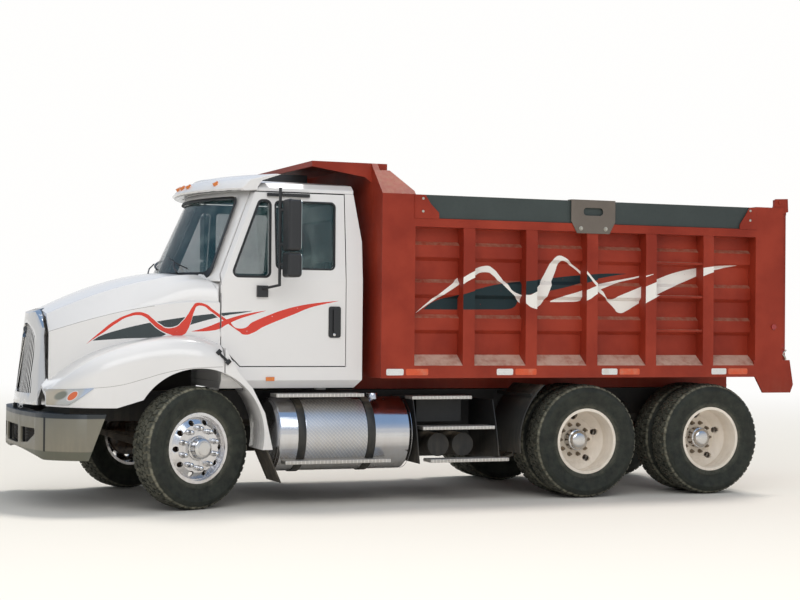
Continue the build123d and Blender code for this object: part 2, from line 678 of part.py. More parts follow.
def make_roof_fittings():
    centre_x = visor_arc_centre(cab_eave + 20)
    eave = cab_eave
    profile = [(screen_radius + 12, eave + 32), (screen_radius + 12, eave + 8),
               (screen_radius + 105, eave - 4), (screen_radius + 128, eave + 18),
               (screen_radius + 60, eave + 95), (screen_radius - 120, eave + 152),
               (screen_radius - 150, eave + 148), (screen_radius - 20, eave + 90)]
    ring = spun(profile, (centre_x, 0, 0), (0, 0, 1))
    reach = cab_eave_half_width + 25
    visor = ring & box(cab_front_x - 600, screen_front_x + 400, -reach, reach, eave - 120, eave + 230)
    save("sun_visor", largest(visor - cab_form(-0.5)))

    unit = box(cab_rear_x + 286, cab_rear_x + 656, -330, 330, cab_top - 45, cab_top + 63)
    save("roof_unit", unit - cab_form(-0.2))

    lamps = []
    arc = screen_radius + 88.0
    for y in (-640.0, -170.0, 0.0, 170.0, 640.0):
        x = centre_x + sqrt(arc ** 2 - y ** 2)
        lamps.append(Pos(x, y, eave + 72) * Rot(0, 32, degrees(asin(y / arc))) * Cylinder(26, 30) - ring)
    marker = box(cab_front_x - 475, cab_front_x - 400, cab_half_width, cab_half_width + 14,
                 cab_bottom + 65, cab_bottom + 99)
    save("amber_lamps", *[largest(lamp) for lamp in lamps], *both_sides(marker))


# Seats, dashboard and steering wheel

def make_interior():
    floor_z = cab_bottom + cab_wall
    shapes = []
    for y in (-480.0, 480.0):
        cushion = fillet(box(cab_rear_x + 190, cab_rear_x + 720, y - 255, y + 255, floor_z + 255,
                             floor_z + 415).edges(), 35)
        pedestal = box(cab_rear_x + 260, cab_rear_x + 640, y - 190, y + 190, floor_z, floor_z + 260)
        rest = side_prism(outline([(cab_rear_x + 150, floor_z + 395), (cab_rear_x + 290, floor_z + 395),
                                   (cab_rear_x + 210, floor_z + 1075), (cab_rear_x + 100, floor_z + 1075)],
                                  40), y - 245, y + 245)
        shapes.append(cushion + pedestal + rest)
    inner_half = cab_half_width - cab_wall - 2
    dash_front = cab_front_x - cab_wall
    dash = side_prism(outline([(dash_front, cowl_z - 450), (dash_front - 270, cowl_z - 370),
                               (dash_front - 320, cowl_z - 130), (dash_front - 140, cowl_z - 5),
                               (dash_front, cowl_z - 5)], 18), -inner_half, inner_half)
    column_start = Vector(cab_front_x - 300, 480, cowl_z - 290)
    column_end = Vector(cab_front_x - 520, 480, cowl_z - 130)
    column = rod(tuple(column_start), tuple(column_end), 28)
    wheel_plane = Plane(origin=tuple(column_end), z_dir=column_end - column_start)
    hoop = wheel_plane * Torus(225, 15)
    spokes = [wheel_plane * Rot(0, 0, a) * Pos(112, 0, 0) * Box(224, 26, 12) for a in (90, 210, 330)]
    save("cab_interior", *shapes, dash + hoop + column + spokes)


# Mirrors and door handles

def make_door_fittings():
    head_x = cab_front_x - 470.0
    rod_x = head_x + 8
    rod_y = cab_half_width + 165.0
    belt = cab_belt
    head = fillet(box(head_x - 115, head_x, rod_y + 30, rod_y + 225, belt + 240, belt + 682).edges(), 26)
    small = fillet(box(head_x - 120, head_x, rod_y + 30, rod_y + 220, belt + 18, belt + 228).edges(), 26)
    stem = rod((rod_x, rod_y, belt - 55), (rod_x, rod_y, belt + 785), 13)
    lower = rod((rod_x, rod_y + 5, belt - 47), (cab_front_x - 350, cab_half_width + 18, belt - 80), 11)
    foot = box(cab_front_x - 405, cab_front_x - 310, cab_half_width, cab_half_width + 30, belt - 150,
               belt - 50)
    upper = rod((rod_x, rod_y + 5, cab_eave - 32), (head_x - 90, cab_eave_half_width + 20, cab_eave - 32),
                12)
    bar = box(cab_front_x - 800, cab_front_x - 415, cab_eave_half_width + 5, cab_eave_half_width + 30,
              cab_eave - 44, cab_eave - 16)
    clamps = [rod((rod_x, rod_y, belt + z), (head_x - 50, rod_y + 55, belt + z), 12)
              for z in (590, 300, 130)]
    mirrors = head + small + stem + lower + foot + upper + bar + clamps
    plate = box(door_rear_x + 47, door_rear_x + 157, cab_half_width, cab_half_width + 12, belt - 495,
                belt - 222)
    plate = fillet(plate.edges().filter_by(Axis.Y), 22)
    grip = box(door_rear_x + 93, door_rear_x + 119, cab_half_width + 11, cab_half_width + 30, belt - 450,
               belt - 250)
    for name, s in (("left", 1), ("right", -1)):
        shapes = (mirrors, plate + grip)
        save(f"mirror_{name}", *[shape if s > 0 else mirror(shape, Plane.XZ) for shape in shapes])


# Hood: a bowed nose and two fenders in one shell

# distance ahead of the front axle, half width, crease height, shoulder half width and height, crown height
nose_sections = [
    (front_overhang - nose_back, 565.0, 1490.0, 430.0, 1640.0, 1680.0),
    (620.0, 845.0, 1640.0, 640.0, 1835.0, 1878.0),
    (230.0, 960.0, 1722.0, 760.0, 1940.0, 1990.0),
    (-291.0, 1030.0, 1745.0, 810.0, 1955.0, 2003.0),
]
# distance ahead of the front axle, outer half width, top height, shoulder radius
fender_sections = [
    (front_overhang - 164.0, 700.0, 985.0, 60.0),
    (front_overhang - 254.0, 900.0, 1085.0, 90.0),
    (front_overhang - 404.0, 1070.0, 1215.0, 130.0),
    (640.0, 1160.0, 1345.0, 160.0),
    (230.0, 1170.0, 1452.0, 180.0),
    (-291.0, 1170.0, 1395.0, 180.0),
]
fender_root_y = 450.0


def nose_body(inset):
    """The hood's middle, from just behind the grille to the cab."""
    faces = []
    for ahead, half, crease, shoulder, shoulder_z, crown in nose_sections:
        x = front_axle_x + ahead
        y = half - inset
        top = crown - inset
        plane = Plane(origin=(x, 0, 0), x_dir=(0, 1, 0), z_dir=(1, 0, 0))
        arc = ThreePointArc((shoulder - inset, shoulder_z - inset), (0, top),
                            (inset - shoulder, shoulder_z - inset))
        bottom = hood_bottom - (200.0 if inset else 0.0)
        edge = Polyline((inset - shoulder, shoulder_z - inset), (-y, crease - inset / 2), (-y, bottom),
                        (y, bottom),
                        (y, crease - inset / 2), (shoulder - inset, shoulder_z - inset))
        faces.append(plane * make_face([arc, edge]))
    return loft(faces)


def fender_body(inset):
    """The left fender: sections that widen and rise from the headlamp to the arch's crown."""
    faces = []
    for ahead, outer, top, radius in fender_sections:
        x = front_axle_x + ahead
        y = outer - inset
        high = top - inset
        plane = Plane(origin=(x, 0, 0), x_dir=(0, 1, 0), z_dir=(1, 0, 0))
        bottom = hood_bottom - (200.0 if inset else 0.0)
        turn = radius * (1 - cos(radians(45)))
        arc = ThreePointArc((y, high - radius), (y - turn, high - turn), (y - radius, high))
        edge = Polyline((y - radius, high), (fender_root_y, high + 60), (fender_root_y, bottom),
                        (y, bottom), (y, high - radius))
        faces.append(plane * make_face([arc, edge]))
    return loft(faces)


def arch_cut(y0, y1):
    """Wheel opening in side view: a round arch that runs out along the fender's lower edge."""
    x = front_axle_x
    face = Pos(arch_centre_x, arch_centre_z) * Circle(arch_radius)
    wedge = outline([(x + 399, 931), (x + 617, hood_bottom + 1), (x + 617, 600), (x - 700, 600),
                     (x - 400, 931)])
    return side_prism(face + wedge, y0, y1)


def make_hood():
    outer = nose_body(0)
    for part in both_sides(fender_body(0)):
        outer += part
    hollow = nose_body(hood_wall)
    for part in both_sides(fender_body(hood_wall)):
        hollow += part
    rear_slot = box(hood_rear_x - 10, hood_rear_x + 60, -990, 990, 500, 1720)
    shell = outer - hollow - rear_slot
    shell = shell - arch_cut(700, 1300) - mirror(arch_cut(700, 1300), Plane.XZ)
    cowl_curve = Pos(screen_front_x - screen_radius, 0, 0) * Cylinder(screen_radius + 14, 5000)
    shell = shell - (cowl_curve & box(hood_rear_x - 50, screen_front_x + 100, -1200, 1200, 1500, 2200))
    nose_x = face_x - nose_back
    shell = shell + box(nose_x - 25, nose_x - 2, -545, 545, hood_bottom + 1, hood_bottom + 65)
    save("hood_shell", largest(shell))


# Grille: a chrome surround with upright bars, and the headlamps beside it

grille_half = 500.0
grille_radius = 1400.0
grille_face_x = face_x - 29.0
grille_rake = 7.0
grille_bar_count = 15
grille_bar_spacing = 44.0


def nose_slab(front_inset, depth):
    """A bowed, leaning slab at the nose, from a depth behind the grille's face."""
    front = grille_face_x - front_inset
    sag = grille_radius - sqrt(grille_radius ** 2 - 620.0 ** 2)
    back = front - depth
    face = make_face([ThreePointArc((front - sag, -620), (front, 0), (front - sag, 620)),
                      Line((front - sag, 620), (back - sag, 620)),
                      ThreePointArc((back - sag, 620), (back, 0), (back - sag, -620)),
                      Line((back - sag, -620), (front - sag, -620))])
    rake = radians(grille_rake)
    return extrude(Pos(0, 0, hood_bottom) * face, 900.0, dir=Vector(-sin(rake), 0, cos(rake)))


def make_grille():
    back = face_x - 384.0
    nose_x = face_x - nose_back
    front = grille_face_x + 10
    top_round = side_prism(make_face([Line((back, hood_bottom), (front, hood_bottom)),
                                      Line((front, hood_bottom), (front, 1560)),
                                      ThreePointArc((front, 1560), (face_x - 159, 1662),
                                                    (face_x - 324, 1706)),
                                      Line((face_x - 324, 1706), (back, hood_bottom))]), -700, 700)
    arch = front_prism(make_face([Line((-grille_half, hood_bottom), (grille_half, hood_bottom)),
                                  Line((grille_half, hood_bottom), (430, 1520)),
                                  ThreePointArc((430, 1520), (0, 1712), (-430, 1520)),
                                  Line((-430, 1520), (-grille_half, hood_bottom))]), back - 50, front + 10)
    hole = front_prism(make_face([Line((-375, hood_bottom + 95), (375, hood_bottom + 95)),
                                  Line((375, hood_bottom + 95), (320, 1430)),
                                  ThreePointArc((320, 1430), (0, 1560), (-320, 1430)),
                                  Line((-320, 1430), (-375, hood_bottom + 95))]), back - 50, front + 10)
    surround = (nose_slab(0, 165) & top_round & arch) - hole - nose_body(-1.0)
    for part in both_sides(fender_body(-1.0)):
        surround -= part
    slab = nose_slab(34, 60) & hole
    field = None
    for i in range(grille_bar_count):
        y = (i - (grille_bar_count - 1) / 2) * grille_bar_spacing
        bar = box(face_x - 284, front + 10, y - 11, y + 11, hood_bottom + 50, 1600)
        field = slab & bar if field is None else field + (slab & bar)
    frame = surround + (nose_slab(60, 30) & hole)
    grille = largest(frame + field) - box(nose_x - 75, nose_x - 1, -600, 600, hood_bottom - 65,
                                          hood_bottom + 135)
    # the eyes that the hood tilts on, under the grille's lower edge
    for s in (1, -1):
        grille += box(hood_hinge_x - 17, hood_hinge_x + 11, s * 142, s * 160, hood_hinge_z,
                      hood_bottom + 20)
        grille += rod((hood_hinge_x, s * 142, hood_hinge_z), (hood_hinge_x, s * 160, hood_hinge_z), 17)
    for s in (1, -1):
        grille -= rod((hood_hinge_x, s * 130, hood_hinge_z), (hood_hinge_x, s * 180, hood_hinge_z),
                      hood_pin_radius + running_fit)
    save("grille", largest(grille))

    lamp_zone = side_prism(outline([(face_x - 84, hood_bottom + 7), (face_x - 94, hood_bottom + 135),
                                    (face_x - 199, hood_bottom + 147), (face_x - 484, hood_bottom + 165),
                                    (face_x - 304, hood_bottom + 20)]), 520, 1200)
    lamp = ((fender_body(-8) - fender_body(-0.5)) & lamp_zone) - nose_slab(0, 165)
    save("headlamps", *both_sides(largest(lamp)))


# Fender extensions on the cab's side, mud flaps and the guards ahead of the drive wheels

def make_guards():
    x = front_axle_x
    top_z = 1362.0
    seam = cab_front_x + 1.0
    seam_z = arch_centre_z + sqrt(arch_radius ** 2 - (arch_centre_x - seam) ** 2)
    rise = radians(33)
    band = make_face([Polyline((seam, top_z), (seam - 2, top_z - 1), (x - 389, 1208), (x - 412, 1170),
                               (x - 545, 1020), (x - 655, 810), (x - 726, 497), (x - 636, 497)),
                      ThreePointArc((x - 636, 497), (arch_centre_x - arch_radius * cos(rise),
                                                     arch_centre_z + arch_radius * sin(rise)),
                                    (seam, seam_z)),
                      Line((seam, seam_z), (seam, top_z))])
    lip = side_prism(band, cab_half_width + 12, fender_half_width)
    liner = side_prism(band, 760, fender_half_width) & box(x - 800, x, 700, 1200, 400, cab_bottom - 12)
    save("fender_extensions", *both_sides(lip + liner))

    flap = side_prism(outline([(x - 672, 495), (x - 686, 495), (x - 812, 212), (x - 798, 212)]), 770, 1150)
    guard_r = tyre_radius + 170.0
    ax = drive_axle_x[0]
    ring = Pos(ax, axle_height) * (Circle(guard_r) - Circle(guard_r - 12))
    wedge = outline([(ax, axle_height), (ax + 900, axle_height - 130), (ax + 900, axle_height + 1000),
                     (ax + 560, axle_height + 900)])
    guard = side_prism(ring & wedge, 560, 1190) & box(ax, ax + 900, 500, 1200, 380, 1040)
    stay = box(ax + 500, ax + 560, frame_half_width + 2, 1150, frame_top - 45, frame_top - 15)
    save("mud_guards", *both_sides(flap), *both_sides(largest(guard + stay)))


# Fuel tank with straps, and the treads and boxes beside the frame

def make_tank():
    length = tank_front_x - tank_rear_x
    axis_start = (tank_rear_x, tank_y, tank_z)
    tank = spun([(0, 0), (tank_radius - 30, 0), (tank_radius, 30), (tank_radius, length - 30),
                 (tank_radius - 30, length),
                 (0, length)], axis_start, (1, 0, 0))
    cap = rod((tank_rear_x + 290, tank_y + 60, tank_z + tank_radius - 20),
              (tank_rear_x + 290, tank_y + 60, tank_z + tank_radius + 34), 48)
    save("fuel_tank", tank + cap)

    straps = []
    for x in (tank_rear_x + 350, tank_rear_x + 990):
        ring = pipe((x, tank_y, tank_z), (x + 70, tank_y, tank_z), tank_radius + 9, tank_radius + 1)
        hanger = box(x, x + 70, frame_half_width + 1, tank_y - 200, tank_z - 60, frame_top - 20)
        hanger = hanger - rod((x - 10, tank_y, tank_z), (x + 90, tank_y, tank_z), tank_radius + 1)
        straps.append(ring + hanger)
    save("tank_straps", *straps)


# rear end, front end, inner and outer edge, top
left_treads = [
    (step_front_x - 805.0, step_front_x, 950.0, 1130.0, 972.0),
    (step_front_x - 1026.0, step_front_x - 59.0, 1085.0, 1215.0, 402.0),
    (stand_rear_x + 216.0, stand_front_x + 18.0, 860.0, 1040.0, 940.0),
    (stand_rear_x + 25.0, stand_front_x - 52.0, 930.0, 1130.0, 672.0),
    (stand_rear_x - 77.0, stand_front_x - 93.0, 1040.0, 1215.0, 388.0),
]
right_treads = [
    (step_front_x - 805.0, step_front_x, 950.0, 1130.0, 972.0),
    (step_front_x - 874.0, step_front_x, 1045.0, 1215.0, 672.0),
    (step_front_x - 874.0, step_front_x, 1045.0, 1215.0, 388.0),
]
tread_thickness = 30.0


def make_steps():
    treads = []
    for s, table in ((1, left_treads), (-1, right_treads)):
        for rear, front, inner, outer, top in table:
            treads.append(box(rear, front, s * inner, s * outer, top - tread_thickness, top))
    save("step_treads", *treads)

    side = outline([(500, 930), (500, 360), (1190, 350), (1120, 640), (1030, 902), (560, 902)])
    stand = front_prism(side, stand_rear_x, stand_rear_x + 10)
    stand = stand + front_prism(side, stand_front_x, stand_front_x + 10)
    stand = stand + [box(stand_rear_x, stand_front_x + 10, 500, 512, 362, 925),
                     box(stand_rear_x, stand_front_x + 10, 512, 560, 902, 925),
                     box(stand_rear_x + 240, stand_front_x - 100, 520, 850, 700, 898)]
    # two air tanks stand across under the box
    for x in (stand_rear_x + 280, stand_front_x - 260):
        stand = stand + rod((x, 505, 500), (x, 985, 500), 104)
    link = frame_half_width + 1
    for x in (stand_rear_x + 70, stand_front_x - 120):
        stand = stand + box(x, x + 40, link, 505, rail_bottom + 25, rail_bottom + 145)
    for tread in treads:
        stand -= tread

    battery = box(battery_rear_x, battery_front_x, -1040, -500, 360, 925)
    battery = battery + box(battery_rear_x + 110, battery_front_x - 80, -505, -link, rail_bottom + 25,
                            rail_bottom + 145)
    ledges = [box(battery_rear_x + 20, battery_front_x - 20, -1190, -1035, z - 20, z) for z in (358, 642)]
    save("step_frames", stand, battery + ledges)


# Exhaust along the right of the frame

def make_exhaust():
    y = -700.0
    z = rail_bottom - 75.0
    length = muffler_front_x - muffler_rear_x
    muffler = spun([(0, 0), (120, 0), (150, 40), (150, length - 40), (120, length), (0, length)],
                   (muffler_rear_x, y, z), (1, 0, 0))
    tail = rod((muffler_rear_x - 190, y, z), (muffler_rear_x + 5, y, z), 50)
    spout = rod((muffler_rear_x - 170, y, z), (muffler_rear_x - 170, y, z - 260), 50)
    strap_x = muffler_rear_x + length / 2 - 20
    strap = box(strap_x, strap_x + 50, -640, -frame_half_width - 1, z - 40, rail_bottom + 185)
    save("exhaust", muffler + tail + spout + strap)


# Bed floor with sills, cross-bearers, hinge ears and the hoist's upper bracket

rib_stations = [first_rib_x + (last_rib_x - first_rib_x) * i / (rib_count - 1) for i in range(rib_count)]


def make_bed_floor():
    half = bed_panel_half - bed_plate
    sill_bottom = frame_top + bed_rest_gap
    front = bed_front_x - 60
    plate_bottom = bed_rail_top - bed_plate
    floor = box(bed_tail_x + 125, front, -half, half, plate_bottom, bed_rail_top)
    sill = box(hinge_x - 30, front, frame_half_width - 80, frame_half_width, sill_bottom,
               bed_rail_bottom + 5)
    bearers = [box(x - 30, x + 30, -half, half, bed_rail_bottom, plate_bottom)
               for x in (*rib_stations, bed_front_x - 230, bed_tail_x + 521)]
    ear = side_prism(outline([(hinge_x - 45, hinge_z - 20), (hinge_x - 20, hinge_z - 45),
                              (hinge_x + 30, hinge_z - 40), (hinge_x + 75, sill_bottom + 20),
                              (hinge_x - 60, sill_bottom + 20)]), 352, 390)
    ear -= rod((hinge_x, 340, hinge_z), (hinge_x, 400, hinge_z), hinge_pin_radius + running_fit)
    # cheeks under the floor take the heads of the lift cylinders
    x = hoist_eye_x
    z = hoist_eye_z
    lug = side_prism(outline([(x - 62, plate_bottom + 2), (x - 40, z - 28), (x + 40, z - 28),
                              (x + 62, plate_bottom + 2)]), -7, 7)
    boss = rod((x, 0, z), (x, 16, z), 24)
    lugs = [Pos(0, y + side * 74, 0) * (lug + Pos(0, -8 + side * 8, 0) * boss)
            for y in (hoist_y, -hoist_y) for side in (-1, 1)]
    save("bed_floor", floor + both_sides(sill + ear) + bearers + lugs)


# Bed sides: pressed panel with three swages, ribs, rails, posts and feet

swage_centres = (bed_rail_top + 1020.0, bed_rail_top + 687.0, bed_rail_top + 373.0)
swage_height = 130.0
swage_depth = 38.0


def panel_face():
    """Cross-section of the pressed panel, thick as its plate, with outward swages."""
    outer_y = bed_panel_half
    points = [(outer_y, bed_rail_top - 5)]
    for z in reversed(swage_centres):
        low = z - swage_height / 2
        high = z + swage_height / 2
        points += [(outer_y, low - 20), (outer_y + swage_depth, low + 12),
                   (outer_y + swage_depth, high - 12),
                   (outer_y, high + 20)]
    points.append((outer_y, bed_top_rail[1] - 5))
    back = [(y - bed_plate, z) for y, z in reversed(points)]
    return outline(points + back)


def make_bed_sides():
    front = bed_front_x
    post_rear = front - front_post_length
    rear_front = rear_post_front_x
    wall_y = bed_panel_half - bed_plate
    tail = bed_tail_x
    low, high = bed_top_rail
    ends = (rear_front - 5, post_rear + 5)
    side = front_prism(panel_face(), *ends)
    side += box(*ends, wall_y, bed_half_width, bed_rail_bottom, bed_rail_top)
    side += front_prism(outline([(bed_panel_half - 5, bed_rail_top - 5), (bed_half_width, bed_rail_top - 5),
                                 (bed_half_width, bed_rail_top + 6), (bed_panel_half, bed_rail_top + 100),
                                 (bed_panel_half - 5, bed_rail_top + 100)]), *ends)
    side += box(*ends, wall_y, bed_half_width, low, high)
    rib = outline([(bed_panel_half - 5, bed_rail_top - 2), (bed_half_width, bed_rail_top - 2),
                   (bed_half_width, low - 110), (bed_half_width - 6, low + 2),
                   (bed_panel_half - 5, low + 2)])
    for x in rib_stations:
        side += front_prism(rib, x - bed_rib_width / 2, x + bed_rib_width / 2)

    # front post, with a cap that leans in to meet the headboard
    post = front_prism(outline([(bed_half_width, bed_rail_bottom), (bed_half_width, bed_side_top),
                                (bed_apex_half + 60, bed_side_top + 218), (bed_apex_half + 60, low + 60),
                                (wall_y, low - 40), (wall_y, bed_rail_bottom)]), post_rear, front)
    taper = plan_prism(outline([(front - 150, 900), (front - 150, bed_apex_half + 59),
                                (post_rear, bed_half_width - 30), (post_rear - 10, 900)]), low - 40,
                       high + 585)
    side += post - taper
    side += box(rear_post_back_x, rear_front, wall_y, bed_half_width, bed_rail_bottom, bed_side_top + 6)

    # foot at the tail, ear and pin that the tailgate hangs on, gussets under the boards' ends
    side += side_prism(outline([(rear_front + 10, bed_rail_top + 56),
                                (rear_front + 10, bed_rail_bottom + 25),
                                (rear_front - 92, hinge_z + 23), (tail + 32, hinge_z + 23),
                                (tail, hinge_z + 100), (tail + 40, bed_rail_top + 56)]),
                       bed_half_width - 22, bed_half_width)
    side += side_prism(outline([(tailgate_pivot_x + 75, bed_side_top),
                                (tailgate_pivot_x + 45, bed_side_top + 90),
                                (tail + 66, bed_side_top + 96), (tail + 60, bed_side_top - 30),
                                (rear_post_back_x + 30, bed_side_top - 60)]),
                       bed_half_width - 34, bed_half_width - 10)
    side += rod((tailgate_pivot_x, bed_half_width - 60, tailgate_pivot_z),
                (tailgate_pivot_x, bed_half_width, tailgate_pivot_z), tailgate_pin_radius)
    for base, reach in ((post_rear, -165), (rear_front, 165)):
        side += side_prism(outline([(base, high - 5), (base + reach, high - 5), (base + reach, high + 40),
                                    (base + reach * 0.45, bed_side_top - 5), (base, bed_side_top - 5)]),
                           bed_half_width - 12, bed_half_width - 2)

    # rungs between the last two ribs
    rung_x = (rib_stations[-1] + bed_rib_width / 2 - 5, rib_stations[-2] - bed_rib_width / 2 + 5)
    for z in (swage_centres[0] - 58, swage_centres[1] - 39, swage_centres[2] - 44):
        side += rod((rung_x[0], bed_half_width - 25, z), (rung_x[1], bed_half_width - 25, z), 13)
    save("bed_side_left", side)
    save("bed_side_right", mirror(side, Plane.XZ))


def make_bed_ends():
    front = bed_front_x
    shoulder = bed_panel_half - 16
    tip = bed_apex_half + 58
    waist = bed_top_rail[0]
    half = [(shoulder, bed_rail_bottom), (shoulder, waist - 42), (tip, waist + 58), (tip, bed_apex_z - 64),
            (bed_apex_half, bed_apex_z)]
    board = front_prism(outline(half + [(-y, z) for y, z in reversed(half)]), front - 58, front)
    board += box(front - 150, front - 57, -bed_apex_half, bed_apex_half, bed_apex_z - 80, bed_apex_z)

    # the shield that reaches over the cab, with its lip and its two cheeks
    reach = front + canopy_reach
    board += box(front - 2, reach, -bed_apex_half, bed_apex_half, bed_apex_z - 12, bed_apex_z)
    board += box(reach - 12, reach, -bed_apex_half, bed_apex_half, bed_apex_z - 48, bed_apex_z)
    cheek = side_prism(outline([(front - 2, bed_apex_z), (front - 2, bed_apex_z - 170),
                                (front + 60, bed_apex_z - 125), (reach, bed_apex_z - 48),
                                (reach, bed_apex_z)]),
                       bed_apex_half - 12, bed_apex_half)
    save("bed_headboard", board + both_sides(cheek))

    y0 = bed_half_width - 14 - board_thickness
    plank = box(rear_post_front_x + 1, front - front_post_length - 1, y0, y0 + board_thickness,
                bed_top_rail[1] + 1, bed_side_top)
    save("sideboards", *both_sides(plank))

    # a clip over the middle of each board, down the face of the top rail
    middle = rib_stations[rib_count // 2]
    rail_top = bed_top_rail[1]
    clip_x = (middle - 228.0, middle + 228.0)
    clip = side_prism(outline([(clip_x[0], bed_side_top + 6), (clip_x[0], rail_top + 20),
                               (clip_x[0] + 60, rail_top - 90), (clip_x[1] - 60, rail_top - 90),
                               (clip_x[1], rail_top + 20), (clip_x[1], bed_side_top + 6)]),
                      bed_half_width + 1, bed_half_width + 9)
    hook = box(*clip_x, y0 - 10, bed_half_width + 9, bed_side_top + 1, bed_side_top + 9)
    slot = side_prism(outline([(middle - 100, rail_top + 75), (middle + 100, rail_top + 75),
                               (middle + 100, rail_top + 145), (middle - 100, rail_top + 145)], 30),
                      bed_half_width - 20, bed_half_width + 20)
    save("board_clips", *both_sides((clip - slot) + hook))


# Tailgate, hung from the pins at the top of the rear posts

def make_tailgate():
    half = bed_half_width - 60
    front = rear_post_back_x - 8
    back = front - 62
    x = tailgate_pivot_x
    z = tailgate_pivot_z
    gate = box(front - 12, front, -half, half, bed_rail_top + 8, bed_side_top + 10)
    for y in (45 - half, -560.0, 0.0, 560.0, half - 45):
        gate += box(back, front - 6, y - 45, y + 45, bed_rail_top + 10, bed_side_top + 8)
    for bar_z in (bed_rail_top + 10, bed_rail_top + 530, bed_rail_top + 980, bed_side_top - 82):
        gate += box(back, front - 6, -half, half, bar_z, bar_z + 90)
    arm = side_prism(outline([(x - 28, z + 28), (x + 28, z + 28), (x + 28, z - 28), (front, z - 28),
                              (front - 10, bed_side_top - 60), (front - 60, bed_side_top - 60),
                              (front - 60, bed_side_top + 5)]), half - 30, half + 8)
    gate = gate + both_sides(arm)
    for s in (1, -1):
        gate -= rod((x, s * (half - 60), z), (x, s * (half + 60), z), tailgate_pin_radius + running_fit)
    save("tailgate", gate)

    # a round side marker and two lamps that face back, on each rear post
    marker_x = rear_post_front_x - 205.0
    marker = rod((marker_x, bed_half_width, swage_centres[2]),
                 (marker_x, bed_half_width + 12, swage_centres[2]),
                 26)
    lamps = [rod((rear_post_back_x - 12, bed_half_width - 24, lamp_z),
                 (rear_post_back_x, bed_half_width - 24, lamp_z),
                 20) for lamp_z in (bed_rail_top + 130, bed_rail_top + 190)]
    save("tail_lamps", *[solid for shape in (marker, *lamps) for solid in both_sides(shape)])


# Hoist: two telescopic cylinders, each a barrel and three stages, moving together

def make_hoist():
    base = Vector(hoist_base_x, 0, hoist_base_z)
    eye = Vector(hoist_eye_x, 0, hoist_eye_z)
    along = (eye - base).normalized()
    names = ("hoist_barrels", "hoist_stage_1", "hoist_stage_2", "hoist_stage_3")
    for i, (name, radius) in enumerate(zip(names, hoist_tube_radii)):
        start = base + along * (70 if i == 0 else 95 + 5 * i)
        if i < 3:
            end = eye - along * (hoist_head_radius + (24, 14, 4)[i])
            tube = pipe(tuple(start), tuple(end), radius, hoist_tube_radii[i + 1] + hoist_gap)
        else:
            tube = rod(tuple(start), tuple(eye - along * 8), radius)
            tube += rod((eye.X, -60, eye.Z), (eye.X, 60, eye.Z), hoist_head_radius)
        if i == 0:
            tube += rod(tuple(start), tuple(base + along * 92), radius - 4)
            tube += rod((base.X, -31, base.Z), (base.X, 31, base.Z), hoist_foot_radius)
            tube += rod(tuple(base + along * 15), tuple(base + along * 80), 29)
            tube -= rod((base.X, -60, base.Z), (base.X, 60, base.Z), hoist_pin_radius + running_fit)
        save(name, Pos(0, hoist_y, 0) * tube, Pos(0, -hoist_y, 0) * tube)


make_frame()
make_bumper()
make_engine()
make_front_axle()
make_knuckles()
make_drive_axles()
make_front_wheels()
make_rear_wheels()
make_cab()
make_roof_fittings()
make_interior()
make_door_fittings()
make_hood()
make_grille()
make_guards()
make_tank()
make_steps()
make_exhaust()
make_bed_floor()
make_bed_sides()
make_bed_ends()
make_tailgate()
make_hoist()
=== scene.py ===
# Dump truck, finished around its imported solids.
# Metres; +X is forward, +Y is the driver's left, +Z is up, and the ground is at zero.
import math

import bmesh
import bpy
from mathutils import Matrix, Vector
from mathutils.bvhtree import BVHTree


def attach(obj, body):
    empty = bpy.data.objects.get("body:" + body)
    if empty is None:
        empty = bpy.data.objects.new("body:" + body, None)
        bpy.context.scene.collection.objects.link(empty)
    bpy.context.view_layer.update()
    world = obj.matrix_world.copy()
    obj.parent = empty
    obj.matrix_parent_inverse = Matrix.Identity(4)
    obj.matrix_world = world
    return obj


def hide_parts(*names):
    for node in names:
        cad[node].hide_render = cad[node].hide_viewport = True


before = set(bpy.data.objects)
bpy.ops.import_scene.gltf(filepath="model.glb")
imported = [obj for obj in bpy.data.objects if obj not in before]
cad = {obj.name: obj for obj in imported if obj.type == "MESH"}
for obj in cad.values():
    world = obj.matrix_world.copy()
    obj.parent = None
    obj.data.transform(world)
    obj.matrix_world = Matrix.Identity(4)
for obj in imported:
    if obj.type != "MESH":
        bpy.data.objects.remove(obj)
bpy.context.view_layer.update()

scene = bpy.context.scene
scene.view_settings.view_transform = "Standard"

# Camera: a long lens at eye height, off the driver's side and a little ahead of the front axle.
# Its place, direction and tilt are those of the photograph.
camera_data = bpy.data.cameras.new("camera")
camera_data.sensor_width = 36.0
camera_data.lens = 77.0
camera_data.clip_end = 400.0
camera = bpy.data.objects.new("camera", camera_data)
scene.collection.objects.link(camera)
yaw = math.radians(22.031)
pitch = math.radians(0.709)
roll = math.radians(0.549)
looking = Vector((-math.sin(yaw) * math.cos(pitch), -math.cos(yaw) * math.cos(pitch), math.sin(pitch)))
level = looking.to_track_quat("-Z", "Y").to_matrix().to_4x4()
camera.matrix_world = Matrix.Translation((6.097, 15.109, 1.605)) @ level @ Matrix.Rotation(roll, 4, "Z")
scene.camera = camera


# Floor and light: a wide pale floor that fades into a white studio. A high lamp behind the truck lights its tops,
# a broad soft one fills the near side, and an even sky surrounds the whole.
def feed(tree, value, socket):
    """Puts a number, a colour or another node's output into a socket."""
    if isinstance(value, Value):
        value = value.socket
    if isinstance(value, bpy.types.NodeSocket):
        tree.links.new(value, socket)
    else:
        socket.default_value = value


def add_node(tree, kind, inputs=(), **settings):
    """A new shader node with its settings, its inputs fed by name or by place."""
    made = tree.nodes.new("ShaderNode" + kind)
    for name, value in settings.items():
        setattr(made, name, value)
    for key, value in dict(inputs).items():
        feed(tree, value, made.inputs[key])
    return made


